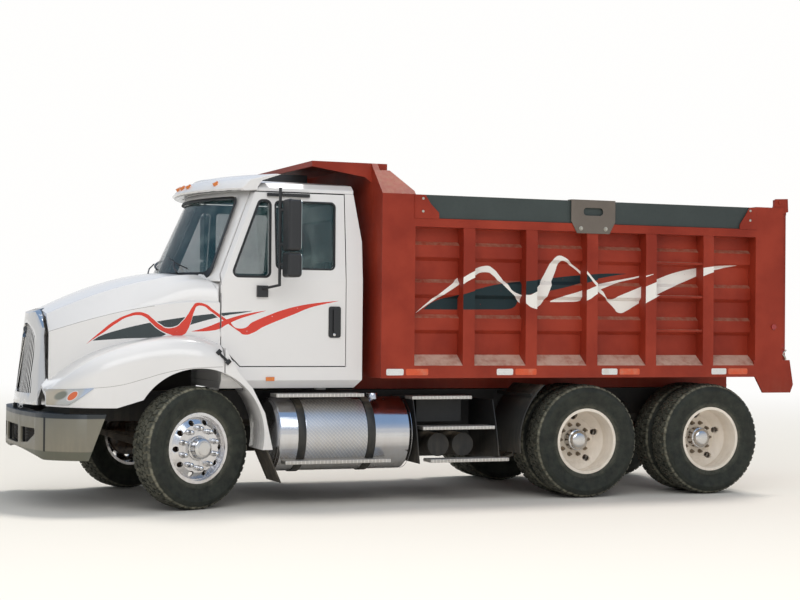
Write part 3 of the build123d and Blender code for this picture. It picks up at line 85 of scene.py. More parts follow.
class Value:
    """What a node gives out. Sums and comparisons with it add their own nodes to its tree."""

    def __init__(self, socket):
        self.socket, self.tree = socket, socket.id_data

    def sum(self, operation, *terms, clamp=False):
        return Value(add_node(self.tree, "Math", enumerate(terms), operation=operation, use_clamp=clamp).outputs[0])

    def __add__(self, other):
        return self.sum("ADD", self, other)

    def __sub__(self, other):
        return self.sum("SUBTRACT", self, other)

    def __rsub__(self, other):
        return self.sum("SUBTRACT", other, self)

    def __mul__(self, other):
        return self.sum("MULTIPLY", self, other)

    def __truediv__(self, other):
        return self.sum("DIVIDE", self, other)

    def __pow__(self, other):
        return self.sum("POWER", self, other)

    def __lt__(self, other):
        return self.sum("LESS_THAN", self, other)

    def __gt__(self, other):
        return self.sum("GREATER_THAN", self, other)

    def __abs__(self):
        return self.sum("ABSOLUTE", self)

    __radd__ = __add__

    def held(self):
        """The same number, kept between 0 and 1."""
        return self.sum("ADD", self, 0.0, clamp=True)

    def split(self):
        """The three parts of a vector."""
        return [Value(part) for part in add_node(self.tree, "SeparateXYZ", {0: self}).outputs]


def blend_in(value, low, high):
    """0 below low and 1 above high, with a soft step between; high may be the smaller one."""
    made = add_node(value.tree, "MapRange", {"Value": value, "From Min": low, "From Max": high},
                    interpolation_type="SMOOTHSTEP")
    return Value(made.outputs["Result"])


def mix_colours(amount, first, second):
    return Value(add_node(amount.tree, "Mix", {"Factor": amount, 6: first, 7: second}, data_type="RGBA").outputs[2])


class Paint:
    """A material with its shader, and the patterns and masks that lie fixed on the piece."""

    def __init__(self, name, constants=()):
        self.material = bpy.data.materials.new(name)
        self.material.use_nodes = True
        self.tree = self.material.node_tree
        self.shader = self.tree.nodes["Principled BSDF"]
        self.coordinates = add_node(self.tree, "TexCoord").outputs
        for socket, value in dict(constants).items():
            self.put(socket, value)

    def put(self, socket, value):
        feed(self.tree, value, self.shader.inputs[socket])

    def place(self):
        """Where a point lies, as x, y and z."""
        return Value(self.coordinates["Object"]).split()

    def facing(self):
        """Which way a face looks, as x, y and z."""
        return Value(self.coordinates["Normal"]).split()

    def texture(self, kind, output, inputs, **settings):
        vector = {"Vector": self.coordinates["Object"]}
        return Value(add_node(self.tree, "Tex" + kind, {**vector, **inputs}, **settings).outputs[output])

    def mottle(self, scale, detail=3.0, stretch=(1.0, 1.0, 1.0), roughness=0.55):
        """Uneven patches, from 0 to 1."""
        sized = add_node(self.tree, "Mapping", {"Vector": self.coordinates["Object"], "Scale": stretch})
        return self.texture("Noise", "Fac", {"Vector": sized.outputs[0], "Scale": scale, "Detail": detail,
                                             "Roughness": roughness})

    def cover(self, mask, colour):
        """Another colour over the own one, where the mask is 1."""
        own = self.shader.inputs["Base Color"].links[0].from_socket
        self.put("Base Color", mix_colours(mask, own, colour))

    def roughen(self, height, strength, distance=0.001):
        """Fine relief from a height value."""
        bump = add_node(self.tree, "Bump", {"Strength": strength, "Distance": distance, "Height": height})
        self.put("Normal", bump.outputs[0])


def white_far_off(surface, amount):
    """Mixes a plain white into a shader, for the rays that look straight at the studio."""
    white = add_node(amount.tree, "Emission", {"Color": (1.0, 0.995, 0.985, 1.0)})
    return add_node(amount.tree, "MixShader", {0: amount, 1: surface, 2: white.outputs[0]}).outputs[0]


def seen_by(tree, first, second):
    """1 for two kinds of rays, else 0."""
    rays = add_node(tree, "LightPath").outputs
    first_kind = Value(rays[f"Is {first} Ray"])
    return first_kind.sum("MAXIMUM", first_kind, rays[f"Is {second} Ray"])


floor_mesh = bpy.data.meshes.new("studio_floor")
floor_reach = 150.0
floor_mesh.from_pydata([(x * floor_reach, y * floor_reach, 0.0) for x, y in ((-1, -1), (1, -1), (1, 1), (-1, 1))],
                       [], [(0, 1, 2, 3)])
floor = bpy.data.objects.new("studio_floor", floor_mesh)
scene.collection.objects.link(floor)
floor_paint = Paint("studio_floor", {"Base Color": (0.74, 0.71, 0.66, 1.0), "Roughness": 0.9,
                                     "Specular IOR Level": 0.1})
distance = sum(part * part for part in floor_paint.place()) ** 0.5
far = blend_in(distance, 6.0, 28.0) * seen_by(floor_paint.tree, "Camera", "Glossy")
feed(floor_paint.tree, white_far_off(floor_paint.shader.outputs[0], far),
     floor_paint.tree.nodes["Material Output"].inputs["Surface"])
floor_mesh.materials.append(floor_paint.material)

studio = bpy.data.worlds.new("studio")
studio.use_nodes = True
scene.world = studio
tree = studio.node_tree
sky = tree.nodes["Background"]
sky.inputs["Color"].default_value = (0.9, 0.95, 1.0, 1.0)
sky.inputs["Strength"].default_value = 0.62
sky_up = Value(add_node(tree, "TexCoord").outputs["Generated"]).split()[2]
sky_tone = mix_colours(blend_in(sky_up, 0.0, 0.6), (0.86, 0.85, 0.83, 1.0), (0.3, 0.45, 0.7, 1.0))
mirrored = add_node(tree, "Background", {"Color": sky_tone})
glossy_or_plain = add_node(tree, "MixShader", {0: add_node(tree, "LightPath").outputs["Is Glossy Ray"],
                                               1: sky.outputs[0], 2: mirrored.outputs[0]})
feed(tree, white_far_off(glossy_or_plain.outputs[0], seen_by(tree, "Camera", "Transmission")),
     tree.nodes["World Output"].inputs["Surface"])


def hang_lamp(name, kind, position, target, energy, size, colour):
    """A sun with an angle, or a rectangle with two sides, aimed at a point."""
    data = bpy.data.lights.new(name, kind)
    data.energy = energy
    data.color = colour
    if kind == "AREA":
        data.shape = "RECTANGLE"
        data.size, data.size_y = size
    else:
        data.angle = size
    made = bpy.data.objects.new(name, data)
    scene.collection.objects.link(made)
    made.location = position
    made.rotation_euler = (Vector(target) - Vector(position)).to_track_quat("-Z", "Y").to_euler()


hang_lamp("high_lamp", "SUN", (-5.0, -3.0, 14.0), (0.0, 0.0, 1.0), 2.0, math.radians(14), (1.0, 0.965, 0.91))
hang_lamp("side_lamp", "AREA", (4.0, 11.0, 8.5), (0.5, 0.0, 1.4), 560.0, (12.0, 6.0), (1.0, 0.99, 0.97))


# Chassis frame: two pressed channel rails with riveted crossmembers, painted black and grey with road dust.
# The finish function made here serves every painted piece: paint, sun fading, and dust on ledges and near the ground.
def shade(red, green, blue):
    """A colour as the eye reads it, 0 to 255, in the numbers that a shader takes."""
    return tuple(((c / 255 + 0.055) / 1.055) ** 2.4 if c > 10 else c / 3295 for c in (red, green, blue)) + (1.0,)


road_dust = shade(178, 160, 136)


def finish(name, colour, roughness, metallic=0.0, fade=0.1, ledge_dust=0.45, low_dust=0.35, dust_from=1.1,
           coat=0.0, relief=0.15, grain=140.0, faded=None, wear=0.16):
    """Paint or metal with uneven tone, dust where it settles, and a fine surface grain."""
    paint = Paint(name, {"Metallic": metallic, "Coat Weight": coat, "Coat Roughness": 0.08})
    darker = tuple(c * (1.0 - fade) for c in colour[:3]) + (1.0,)
    lighter = faded or tuple(min(1.0, c * (1.0 + fade)) for c in colour[:3]) + (1.0,)
    tone = mix_colours(blend_in(paint.mottle(1.7, 5.0), 0.35, 0.68), darker, lighter)
    settled = blend_in(paint.facing()[2], 0.45, 0.95) * ledge_dust
    splashed = blend_in(paint.place()[2], dust_from, 0.25) * low_dust
    patches = blend_in(paint.mottle(6.0, 6.0, roughness=0.7), 0.25, 0.7)
    streaks = blend_in(paint.mottle(26.0, 3.0, (1.0, 1.0, 0.12)), 0.3, 0.8)
    dust = ((settled + splashed) * (patches * 0.7 + streaks)).held()
    paint.put("Base Color", mix_colours(dust, tone, road_dust))
    scuffs = paint.mottle(30.0, 4.0) * wear
    paint.put("Roughness", (scuffs + (roughness - wear / 2) + dust * 0.4).held())
    paint.roughen(paint.mottle(grain, 4.0), relief)
    return paint


def dress(paint, *nodes, edge=0.003):
    """Gives CAD nodes their finish, and breaks their sharp edges as grinding or pressing leaves them."""
    for name in nodes:
        piece = cad[name]
        for place in piece.material_slots:
            place.material = paint.material
        if edge:
            weld = piece.modifiers.new("joined_corners", "WELD")
            weld.merge_threshold = 0.0001
            round_over = piece.modifiers.new("broken_edges", "BEVEL")
            round_over.width = edge
            round_over.segments = 2
            round_over.limit_method = "ANGLE"
            round_over.angle_limit = math.radians(38)
            round_over.harden_normals = True


chassis_black = finish("chassis_black", shade(30, 30, 30), 0.55, ledge_dust=0.5, low_dust=0.28, dust_from=1.0)
dress(chassis_black, "frame_rails", "exhaust")
dress(chassis_black, "crossmembers", "hoist_barrels", edge=0.0)

# Axles, springs, steering and engine: bare castings and forgings, rough, oily and caked with dust. The leaf packs
# are clamped to the axles, and the engine sits between the rails.
cast_iron = finish("cast_iron", shade(40, 37, 34), 0.75, fade=0.3, ledge_dust=0.5, low_dust=0.32, dust_from=0.9,
                   relief=0.6, grain=60.0)
dress(cast_iron, "front_axle", "drive_axles", "engine", "knuckle_left", "knuckle_right", "tie_rod")

# Hoist stages: ground and hard-chromed tubes that slide out of the black barrels. The barrels turn on pins in the
# frame, and the last stages' heads on pins under the bed.
hoist_chrome = finish("hoist_chrome", shade(190, 190, 188), 0.22, metallic=1.0, ledge_dust=0.2, low_dust=0.1,
                      relief=0.02)
dress(hoist_chrome, "hoist_stage_1", "hoist_stage_2", "hoist_stage_3", edge=0.0)


# Tyres: radial truck tyres, moulded rubber with bowed side walls, two rows of blocks down the middle of the tread
# and long lugs that wrap over both shoulders. Single in front, in pairs behind. Road dust fills the grooves.
axle_height = 0.52
front_axle_x = 2.3385
drive_axle_x = (-1.4015, -2.7215)
kingpin_y = 0.88
wheel_from_kingpin = 0.14
rear_wheel_y = 0.905
twin_half = 0.165
rest_steer = math.radians(20.0)
tyre_radius = 0.52
tread_pitches = 50

both_sides = ((1, "left"), (-1, "right"))
faced_out = {1: 0.0, -1: math.pi}
wheel_places = {f"front_{hand}": (front_axle_x - side * wheel_from_kingpin * math.sin(rest_steer),
                                  side * (kingpin_y + wheel_from_kingpin * math.cos(rest_steer)),
                                  rest_steer + faced_out[side]) for side, hand in both_sides}
for axle, x in zip(("first", "second"), drive_axle_x):
    for side, hand in both_sides:
        wheel_places[f"{axle}_{hand}"] = (x, side * rear_wheel_y, faced_out[side])


def wheel_frame(wheel):
    """Where a wheel stands: its own Y axis points out of the truck."""
    x, y, turn = wheel_places[wheel]
    return Matrix.Translation((x, y, axle_height)) @ Matrix.Rotation(turn, 4, "Z")


def place_piece(name, mesh, body, at=None):
    """Puts a finished mesh on its body."""
    made = bpy.data.objects.new(name, mesh)
    scene.collection.objects.link(made)
    if at is not None:
        made.matrix_world = at
    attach(made, body)
    return made


def finished_mesh(name, bm, paint, sharp=35.0):
    """A mesh with its normals outward, smooth but for edges sharper than the angle."""
    bmesh.ops.recalc_face_normals(bm, faces=bm.faces)
    mesh = bpy.data.meshes.new(name)
    bm.to_mesh(mesh)
    bm.free()
    mesh.materials.append(paint.material)
    mesh.shade_smooth()
    mesh.set_sharp_from_angle(angle=math.radians(sharp))
    return mesh


def add_piece(name, bm, paint, body, sharp=35.0, at=None):
    """Finishes a mesh and puts it on its body."""
    return place_piece(name, finished_mesh(name, bm, paint, sharp), body, at)


def skin(bm, rows, closed=True, caps=True):
    """Faces between rows of corners, each row a closed loop or an open line, with a cap on both ends."""
    for first, second in zip(rows, rows[1:]):
        for i in range(len(first) if closed else len(first) - 1):
            j = (i + 1) % len(first)
            bm.faces.new((first[i], first[j], second[j], second[i]))
    if caps:
        bm.faces.new(rows[0])
        bm.faces.new(rows[-1])


def on_tyre(turn, offset, radius):
    return (radius * math.sin(turn), offset, radius * math.cos(turn))


def tread_face(offset):
    """Radius of the tread's face, a little lower towards the shoulders."""
    return tyre_radius - 0.0045 * (offset / 0.1) ** 2


def add_carcass(bm, middle):
    """The tyre without its tread, turned from the outline of half its section."""
    wall = [(0.2868, 0.0), (0.2868, 0.1035), (0.3018, 0.105), (0.3022, 0.116), (0.31, 0.12), (0.329, 0.1225),
            (0.332, 0.1262), (0.344, 0.1272), (0.348, 0.124), (0.385, 0.1305), (0.422, 0.137), (0.444, 0.1388),
            (0.447, 0.14), (0.455, 0.14), (0.458, 0.138), (0.474, 0.135), (0.488, 0.127), (0.498, 0.114),
            (0.503, 0.096), (0.504, 0.0)]
    section = wall + [(r, -y) for r, y in reversed(wall[1:-1])]
    steps = tread_pitches * 2
    rings = [[bm.verts.new(on_tyre(math.tau * i / steps, middle + y, r)) for r, y in section] for i in range(steps)]
    skin(bm, rings + rings[:1], caps=False)


def add_block(bm, middle, corners):
    """A tread block from its face's corners, widening to its foot in the groove."""
    turn_mid = sum(turn for turn, _ in corners) / len(corners)
    y_mid = sum(y for _, y in corners) / len(corners)
    face = [bm.verts.new(on_tyre(turn, middle + y, tread_face(y))) for turn, y in corners]
    foot = [bm.verts.new(on_tyre(turn + (turn - turn_mid) * 0.22, middle + y + (y - y_mid) * 0.22, 0.5015))
            for turn, y in corners]
    bm.faces.new(face)
    skin(bm, [foot, face], caps=False)


def add_shoulder_lug(bm, middle, turn, side, length):
    """A lug from the tread's edge over the shoulder and down the side wall."""
    outer = [(0.052, tread_face(0.052)), (0.094, 0.516), (0.112, 0.5085), (0.1245, 0.496), (0.133, 0.479),
             (0.1375, 0.479 - length)]
    inner = [(0.052, 0.5015), (0.092, 0.501), (0.104, 0.496), (0.114, 0.485), (0.126, 0.47),
             (0.131, 0.47 - length)]
    halves = [0.02, 0.0215, 0.0205, 0.018, 0.015, 0.0125]
    rows = []
    for i in range(len(outer)):
        centre = turn + (0.008 if i == 0 else 0.0) * side / tyre_radius
        half = halves[i] / outer[i][1]
        rows.append([bm.verts.new(on_tyre(centre + way * half * wider, middle + side * y, r))
                     for y, r, way, wider in ((*inner[i], -1, 1.15), (*outer[i], -1, 1.0), (*outer[i], 1, 1.0),
                                              (*inner[i], 1, 1.15))])
    skin(bm, rows, closed=False)


def tyre_mesh(name, middles, paint):
    """One tyre or a pair, each with two blocks and two shoulder lugs to a pitch."""
    bm = bmesh.new()
    pitch = math.tau / tread_pitches
    half, skew, near, far = 0.0235 / tyre_radius, 0.012 / tyre_radius, 0.005, 0.043
    for middle in middles:
        add_carcass(bm, middle)
        for i in range(tread_pitches):
            for side in (-1, 1):
                lug = math.tau * i / tread_pitches + side * pitch * 0.25
                add_shoulder_lug(bm, middle, lug, side, 0.016 if i % 2 else 0.004)
                start, slid = lug + pitch * 0.5, lug + pitch * 0.5 + side * skew
                corners = [(start - half, near), (start + half, near), (slid + half * 0.9, far * 0.55),
                           (slid + half, far), (slid - half, far), (start - half * 1.1 + side * skew * 0.4, far * 0.5)]
                add_block(bm, middle, [(turn, side * y) for turn, y in corners])
    return finished_mesh(name, bm, paint, 40.0)


def tyre_rubber():
    """Black rubber, greyed by dust between the lugs and round the bead, with scuffed brown patches."""
    paint = Paint("tyre_rubber", {"Specular IOR Level": 0.3})
    x, _, z = paint.place()
    reach = (x * x + z * z) ** 0.5
    rubber = mix_colours(blend_in(paint.mottle(9.0, 5.0), 0.3, 0.7), shade(23, 27, 24), shade(35, 40, 35))
    in_grooves = blend_in(reach, 0.515, 0.504) * blend_in(reach, 0.488, 0.5) * 0.75
    worn_face = blend_in(reach, 0.512, 0.518) * 0.3
    round_bead = blend_in(reach, 0.36, 0.3) * 0.22
    patches = blend_in(paint.mottle(14.0, 6.0, roughness=0.7), 0.22, 0.72)
    dust = ((in_grooves + worn_face + round_bead + 0.07) * patches).held()
    paint.put("Base Color", mix_colours(dust, rubber, shade(150, 146, 128)))
    paint.put("Roughness", (dust * 0.25 + 0.7).held())
    on_wall = blend_in(reach, 0.45, 0.44) * blend_in(reach, 0.36, 0.37)
    fine_rings = reach.sum("SINE", reach * 900.0)
    paint.roughen(fine_rings * on_wall * 0.5 + paint.mottle(220.0, 4.0), 0.25)
    return paint


rubber = tyre_rubber()
single_tyre = tyre_mesh("front_tyre", (0.0,), rubber)
twin_tyres = tyre_mesh("twin_tyres", (-twin_half, twin_half), rubber)
for wheel in wheel_places:
    front = wheel.startswith("front")
    body = f"wheel_{wheel}" if front else f"wheels_{wheel}"
    node = f"tyre_{wheel}" if front else f"tyres_{wheel}"
    tyre = place_piece(f"{wheel}_tyre", single_tyre if front else twin_tyres, body, wheel_frame(wheel))
    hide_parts(node)


# Wheels: forged and polished aluminium discs in front, cream-painted steel discs in pairs behind, over cast brake
# drums. Ten studs hold each; the front nuts wear chrome covers, and bright caps close the hubs.
def ring_of(count, radius, start=0.0):
    return [(radius * math.sin(start + math.tau * i / count), radius * math.cos(start + math.tau * i / count))
            for i in range(count)]


def turn_profile(bm, profile, centre=(0.0, 0.0), sides=24):
    """Turns an open outline of (radius, distance out) about a line along local Y through the centre."""
    cx, cz = centre
    rows = []
    for radius, out in profile:
        spots = ring_of(sides, radius) if radius > 0.0 else [(0.0, 0.0)]
        rows.append([bm.verts.new((cx + x, out, cz + z)) for x, z in spots])
    for row, following in zip(rows, rows[1:]):
        for i in range(sides):
            j = (i + 1) % sides
            corners = [row[i % len(row)], row[j % len(row)],
                       following[j % len(following)], following[i % len(following)]]
            distinct = [v for n, v in enumerate(corners) if v not in corners[:n]]
            if len(distinct) > 2:
                bm.faces.new(distinct)


def wheel_finish(wheel, colour, roughness, metallic, drum_reach):
    """The disc's own finish outside, and bare rusty iron for the drum behind it."""
    paint = finish(f"{wheel}_disc", colour, roughness, metallic=metallic, fade=0.05, ledge_dust=0.1, low_dust=0.2,
                   relief=0.05)
    at = wheel_frame(wheel)
    from_hub = [part - hub for part, hub in zip(paint.place(), at.translation)]
    depth = sum(part * way for part, way in zip(from_hub, at.to_3x3() @ Vector((0.0, 1.0, 0.0))))
    off_axle = sum(part * part for part in from_hub) - depth * depth
    is_drum = (off_axle < drum_radius ** 2) * (depth < drum_reach)
    iron = mix_colours(blend_in(paint.mottle(20.0, 5.0), 0.35, 0.65), shade(52, 40, 32), shade(96, 74, 58))
    paint.cover(is_drum, iron)
    if metallic:
        paint.put("Metallic", (1.0 - is_drum) * metallic)
    return paint


chrome = finish("chrome", shade(205, 205, 205), 0.12, metallic=1.0, fade=0.03, ledge_dust=0.12, low_dust=0.12,
                relief=0.01)
stud_steel = finish("stud_steel", shade(120, 112, 100), 0.5, metallic=0.8, ledge_dust=0.5, low_dust=0.4)
nut_circle = {"front": 0.1675, "rear": 0.1425}
drum_radius = 0.212

bm = bmesh.new()
for spot in ring_of(10, nut_circle["front"]):
    turn_profile(bm, [(0.025, 0.1122), (0.0255, 0.1165), (0.0215, 0.12), (0.0205, 0.156), (0.018, 0.168),
                      (0.008, 0.1765), (0.0, 0.1775)], spot, 12)
front_nuts = finished_mesh("front_nut_covers", bm, chrome)
bm = bmesh.new()
turn_profile(bm, [(0.1045, 0.1122), (0.106, 0.1165), (0.104, 0.1215), (0.09, 0.1245), (0.0872, 0.13),
                  (0.0868, 0.17), (0.0835, 0.183), (0.076, 0.189), (0.056, 0.1905), (0.054, 0.1945), (0.0, 0.196)],
             sides=48)
for spot in ring_of(8, 0.0965, 0.2):
    turn_profile(bm, [(0.0062, 0.121), (0.0062, 0.1275), (0.0048, 0.1288), (0.0, 0.1288)], spot, 6)
front_cap = finished_mesh("front_hub_cap", bm, chrome)

bm = bmesh.new()
for spot in ring_of(10, nut_circle["rear"], math.pi / 10):
    turn_profile(bm, [(0.0215, 0.0142), (0.0215, 0.018), (0.0175, 0.019), (0.0175, 0.038), (0.015, 0.041),
                      (0.0112, 0.0412), (0.0108, 0.06), (0.009, 0.062), (0.0, 0.062)], spot, 6)
rear_nuts = finished_mesh("rear_nuts", bm, stud_steel)
bm = bmesh.new()
turn_profile(bm, [(0.0985, 0.015), (0.099, 0.04), (0.086, 0.06), (0.083, 0.066), (0.0828, 0.096),
                  (0.096, 0.1), (0.097, 0.108), (0.085, 0.113), (0.0825, 0.128), (0.076, 0.14),
                  (0.056, 0.15), (0.028, 0.1545), (0.0, 0.1555)], sides=48)
for spot in ring_of(8, 0.0905, 0.2):
    turn_profile(bm, [(0.0065, 0.1085), (0.0065, 0.114), (0.0048, 0.1155), (0.0, 0.1155)], spot, 6)
rear_cap = finished_mesh("rear_hub_cap", bm, chrome)

for wheel in wheel_places:
    at = wheel_frame(wheel)
    if wheel.startswith("front"):
        body = f"wheel_{wheel}"
        dress(wheel_finish(wheel, shade(214, 214, 216), 0.16, 1.0, 0.0585), body, edge=0.002)
        place_piece(f"{wheel}_nut_covers", front_nuts, body, at)
        place_piece(f"{wheel}_hub_cap", front_cap, body, at)
    else:
        body = f"wheels_{wheel}"
        dress(wheel_finish(wheel, shade(234, 224, 211), 0.42, 0.0, -0.0175), body, edge=0.002)
        place_piece(f"{wheel}_nuts", rear_nuts, body, at)
        place_piece(f"{wheel}_hub_cap", rear_cap, body, at)


# Front bumper: a deep pressed-steel beam in silver-grey paint, scratched and dull. A dark rubber strip caps its top
# lip, where feet go, and the skirt under its crease is painted a darker greenish grey. Two arms bolt it to the frame.
def paint_between(paint, low, high, colour, amount=1.0):
    """Another colour over a finish between two heights."""
    z, soft = paint.place()[2], 0.004
    inside = blend_in(z, low - soft, low + soft) * blend_in(z, high + soft, high - soft)
    paint.cover(inside * amount, colour)


bumper_front_x, bumper_bow = 3.6225, 3.983
recess_depth, recess_half, recess_low, recess_high = 0.016, 0.9, 0.5, 0.785
bumper_paint = finish("bumper_paint", shade(122, 118, 105), 0.42, metallic=0.2, fade=0.08, ledge_dust=0.4,
                      low_dust=0.25, dust_from=0.8, relief=0.1)
paint_between(bumper_paint, 0.776, 0.9, shade(46, 50, 52))
paint_between(bumper_paint, 0.4, 0.505, shade(84, 86, 73), 0.8)
x, y, z = bumper_paint.place()
# Painted shade: the faces set back inside the bumper's recess and its openings are painted near black.
behind = x < bumper_front_x - y * y / (2 * bumper_bow) - recess_depth
recess_painted_shade = behind * (abs(y) < recess_half) * (z < recess_high) * (z > recess_low)
bumper_paint.cover(recess_painted_shade, shade(14, 14, 14))
dress(bumper_paint, "front_bumper", edge=0.008)


# Intake screen: black expanded mesh across the back of the bumper's three openings, in front of the radiator. It is
# painted steel sheet bowed like the beam, stiffened by nine folded ribs and riveted at its edges.
def bowed_strip(bm, half, middle_x, section):
    """A strip along the bumper's bow, from its section of (x from the middle, z)."""
    rows = []
    for n in range(25):
        y = -half + 2 * half * n / 24
        x = middle_x - y * y / (2 * bumper_bow)
        rows.append([bm.verts.new((x + dx, y, z)) for dx, z in section])
    skin(bm, rows)


intake_black = finish("intake_black", shade(17, 17, 17), 0.7, ledge_dust=0.3, low_dust=0.12, dust_from=0.9, relief=0.5,
                      grain=90.0)
screen_half, screen_low, screen_high, screen_x, screen_thick = 0.8, 0.495, 0.735, bumper_front_x - 0.075, 0.004
rib_half, rib_first_z, rib_pitch = 0.79, 0.515, 0.025
bm = bmesh.new()
bowed_strip(bm, screen_half, screen_x, [(0.0, screen_low), (0.0, screen_high), (-screen_thick, screen_high),
                                        (-screen_thick, screen_low)])
for n in range(9):
    z = rib_first_z + rib_pitch * n
    bowed_strip(bm, rib_half, screen_x + 0.001, [(-0.003, z - 0.004), (0.007, z), (-0.003, z + 0.004)])
add_piece("intake_screen", bm, intake_black, "chassis")


# Radiator grille: a chromed arch with fifteen upright chromed bars, carried on the hood. A black stone screen of
# perforated sheet stands behind the bars.
chrome_front = finish("chrome_front", shade(208, 208, 208), 0.1, metallic=1.0, fade=0.03, ledge_dust=0.1,
                      low_dust=0.1, relief=0.01)
grille_front_x, grille_foot_z, grille_bow, grille_lean = 3.5935, 0.865, 1.4, math.tan(math.radians(7.0))
stone_set_back, stone_half, stone_low = 0.05, 0.385, 0.945
x, y, z = chrome_front.place()
set_back = grille_front_x - x - ((z - grille_foot_z) * grille_lean + y * y / (2 * grille_bow))
on_screen = (set_back > stone_set_back) * (abs(y) < stone_half) * (z > stone_low)
holes = blend_in(chrome_front.texture("Voronoi", "Distance", {"Scale": 90.0, "Randomness": 0.0}), 0.3, 0.4)
chrome_front.cover(on_screen, mix_colours(holes, shade(6, 6, 6), shade(38, 38, 38)))
chrome_front.put("Metallic", 1.0 - on_screen)
dress(chrome_front, "grille", edge=0.004)


# Fuel tank: a rolled drum of polished aluminium with spun ends, hung from the frame by two black straps with rubber
# under them. A tread-plate guard wraps its face between the straps, and the filler cap stands on top.
def tread_plate(name, colour, across):
    """Rolled tread plate: short raised bars in rows that cross, on bright aluminium, worn brighter on their tops."""
    paint = finish(name, colour, 0.34, metallic=0.9, fade=0.08, ledge_dust=0.35, low_dust=0.2, relief=0.0)
    place = paint.place()
    bar_pitch = 0.034
    bars = []
    for lean in (1.0, -1.0):
        first, second = place[0] * (1.0 / bar_pitch), place[across] * (lean / bar_pitch)
        run = first + second + 64.25 * (lean + 1.0)
        cross = first - second + 64.0
        run, cross = (abs(row.sum("FRACT", row) - 0.5) for row in (run, cross))
        bars.append(blend_in(run, 0.4, 0.32) * blend_in(cross, 0.13, 0.07))
    raised = bars[0].sum("MAXIMUM", *bars)
    paint.cover(raised * 0.6, shade(236, 232, 224))
    paint.roughen(raised, 0.9, 0.002)
    return paint


tank_front_x, tank_rear_x = 1.5605, 0.3155
tank_y, tank_z, tank_radius = 0.83, 0.61, 0.32
strap_middles = (0.7005, 1.3405)
tank_metal = finish("tank_metal", shade(206, 207, 210), 0.16, metallic=1.0, fade=0.05, ledge_dust=0.2, low_dust=0.25,
                    dust_from=0.8, relief=0.0)
tank_metal.roughen(tank_metal.mottle(3.0, 6.0, (60.0, 1.0, 1.0), 0.7), 0.08)
dress(tank_metal, "fuel_tank", edge=0.004)
strap_black = finish("strap_black", shade(20, 24, 24), 0.5, ledge_dust=0.15, low_dust=0.08)
dress(strap_black, "tank_straps", edge=0.002)

bm = bmesh.new()
guard_turns = [math.radians(-38 + 4.5 * i) for i in range(25)]
guard_rows = [[bm.verts.new((x, tank_y + (tank_radius + out) * math.cos(a) - 0.001,
                             tank_z + (tank_radius + out) * math.sin(a))) for a in guard_turns]
              for x, out in ((0.742, 0.0005), (0.742, 0.003), (1.299, 0.003), (1.299, 0.0005))]
skin(bm, guard_rows + guard_rows[:1], closed=False, caps=False)
for i in (0, -1):
    bm.faces.new([row[i] for row in guard_rows])
guard_plate = tread_plate("guard_plate", shade(198, 199, 202), 2)
add_piece("tank_guard", bm, guard_plate, "chassis")

bm = bmesh.new()
for x in strap_middles:
    for y, z in ((tank_y - 0.3, 0.905), (tank_y - 0.365, 0.8)):
        turn_profile(bm, [(0.0, -0.012), (0.011, -0.012), (0.011, 0.012), (0.0, 0.012)], (0.0, 0.0), 6)
        bmesh.ops.translate(bm, verts=bm.verts[-14:], vec=(x, y, z))
for x in (tank_front_x - 0.004, tank_rear_x + 0.004):
    first_vert = len(bm.verts)
    turn_profile(bm, [(0.3165, -0.002), (0.3195, -0.001), (0.3195, 0.001), (0.3165, 0.002)], sides=72)
    bm.verts.ensure_lookup_table()
    ring = bm.verts[first_vert:]
    bmesh.ops.rotate(bm, verts=ring, cent=(0, 0, 0), matrix=Matrix.Rotation(math.radians(90), 3, "Z"))
    bmesh.ops.translate(bm, verts=ring, vec=(x, tank_y, tank_z))
add_piece("tank_rims_and_bolts", bm, tank_metal, "chassis")


# Steps and the stand behind the tank: aluminium treads with a rolled grip pattern, on black plate brackets that also
# carry the air tanks on the left and the battery box on the right.
dress(tread_plate("step_grip", shade(188, 186, 182), 1), "step_treads", edge=0.003)
stand_black = finish("stand_black", shade(26, 27, 27), 0.6, ledge_dust=0.35, low_dust=0.1, dust_from=0.8)
dress(stand_black, "step_frames", edge=0.004)


# Mud guards: moulded black rubber flaps behind the front wheels and guards ahead of the drive wheels, bolted to
# the frame's brackets.
flap_rubber = finish("flap_rubber", shade(38, 39, 37), 0.75, ledge_dust=0.3, low_dust=0.18, dust_from=0.8)
dress(flap_rubber, "mud_guards", edge=0.002)


# Cab: a welded steel shell in gloss white gone slightly chalky, on rubber mounts, with panel gaps round both doors.
# Hood, visor, roof unit and fender extensions are moulded plastic, all but the roof unit in the same paint.
white_tone = shade(224, 222, 221)
cab_middle = (1.35, 0.0, 1.8)


def lined_white(name):
    """The cab's white outside, and grey moulded trim on the faces that look into the cab."""
    paint = finish(name, white_tone, 0.24, fade=0.012, ledge_dust=0.015, low_dust=0.16, dust_from=1.2, coat=0.5,
                   relief=0.0, wear=0.02)
    x, y, z = paint.place()
    facing_in = sum((middle - part) * way for middle, part, way in zip(cab_middle, (x, y, z), paint.facing()))
    lining = (facing_in > 0.12) * (x < 2.32) * (z > 1.07) * (abs(y) < 1.012)
    paint.cover(lining, mix_colours(paint.mottle(60.0, 4.0), shade(48, 50, 52), shade(66, 67, 68)))
    return paint


cab_white = lined_white("cab_white")
dress(cab_white, "cab_floor", "cab_front", "cab_sides", "cab_back", "cab_roof", "sun_visor", edge=0.005)
dress(cab_white, "fender_extensions", edge=0.008)
roof_black = finish("roof_black", shade(38, 40, 42), 0.6, ledge_dust=0.5)
dress(roof_black, "roof_unit", edge=0.008)


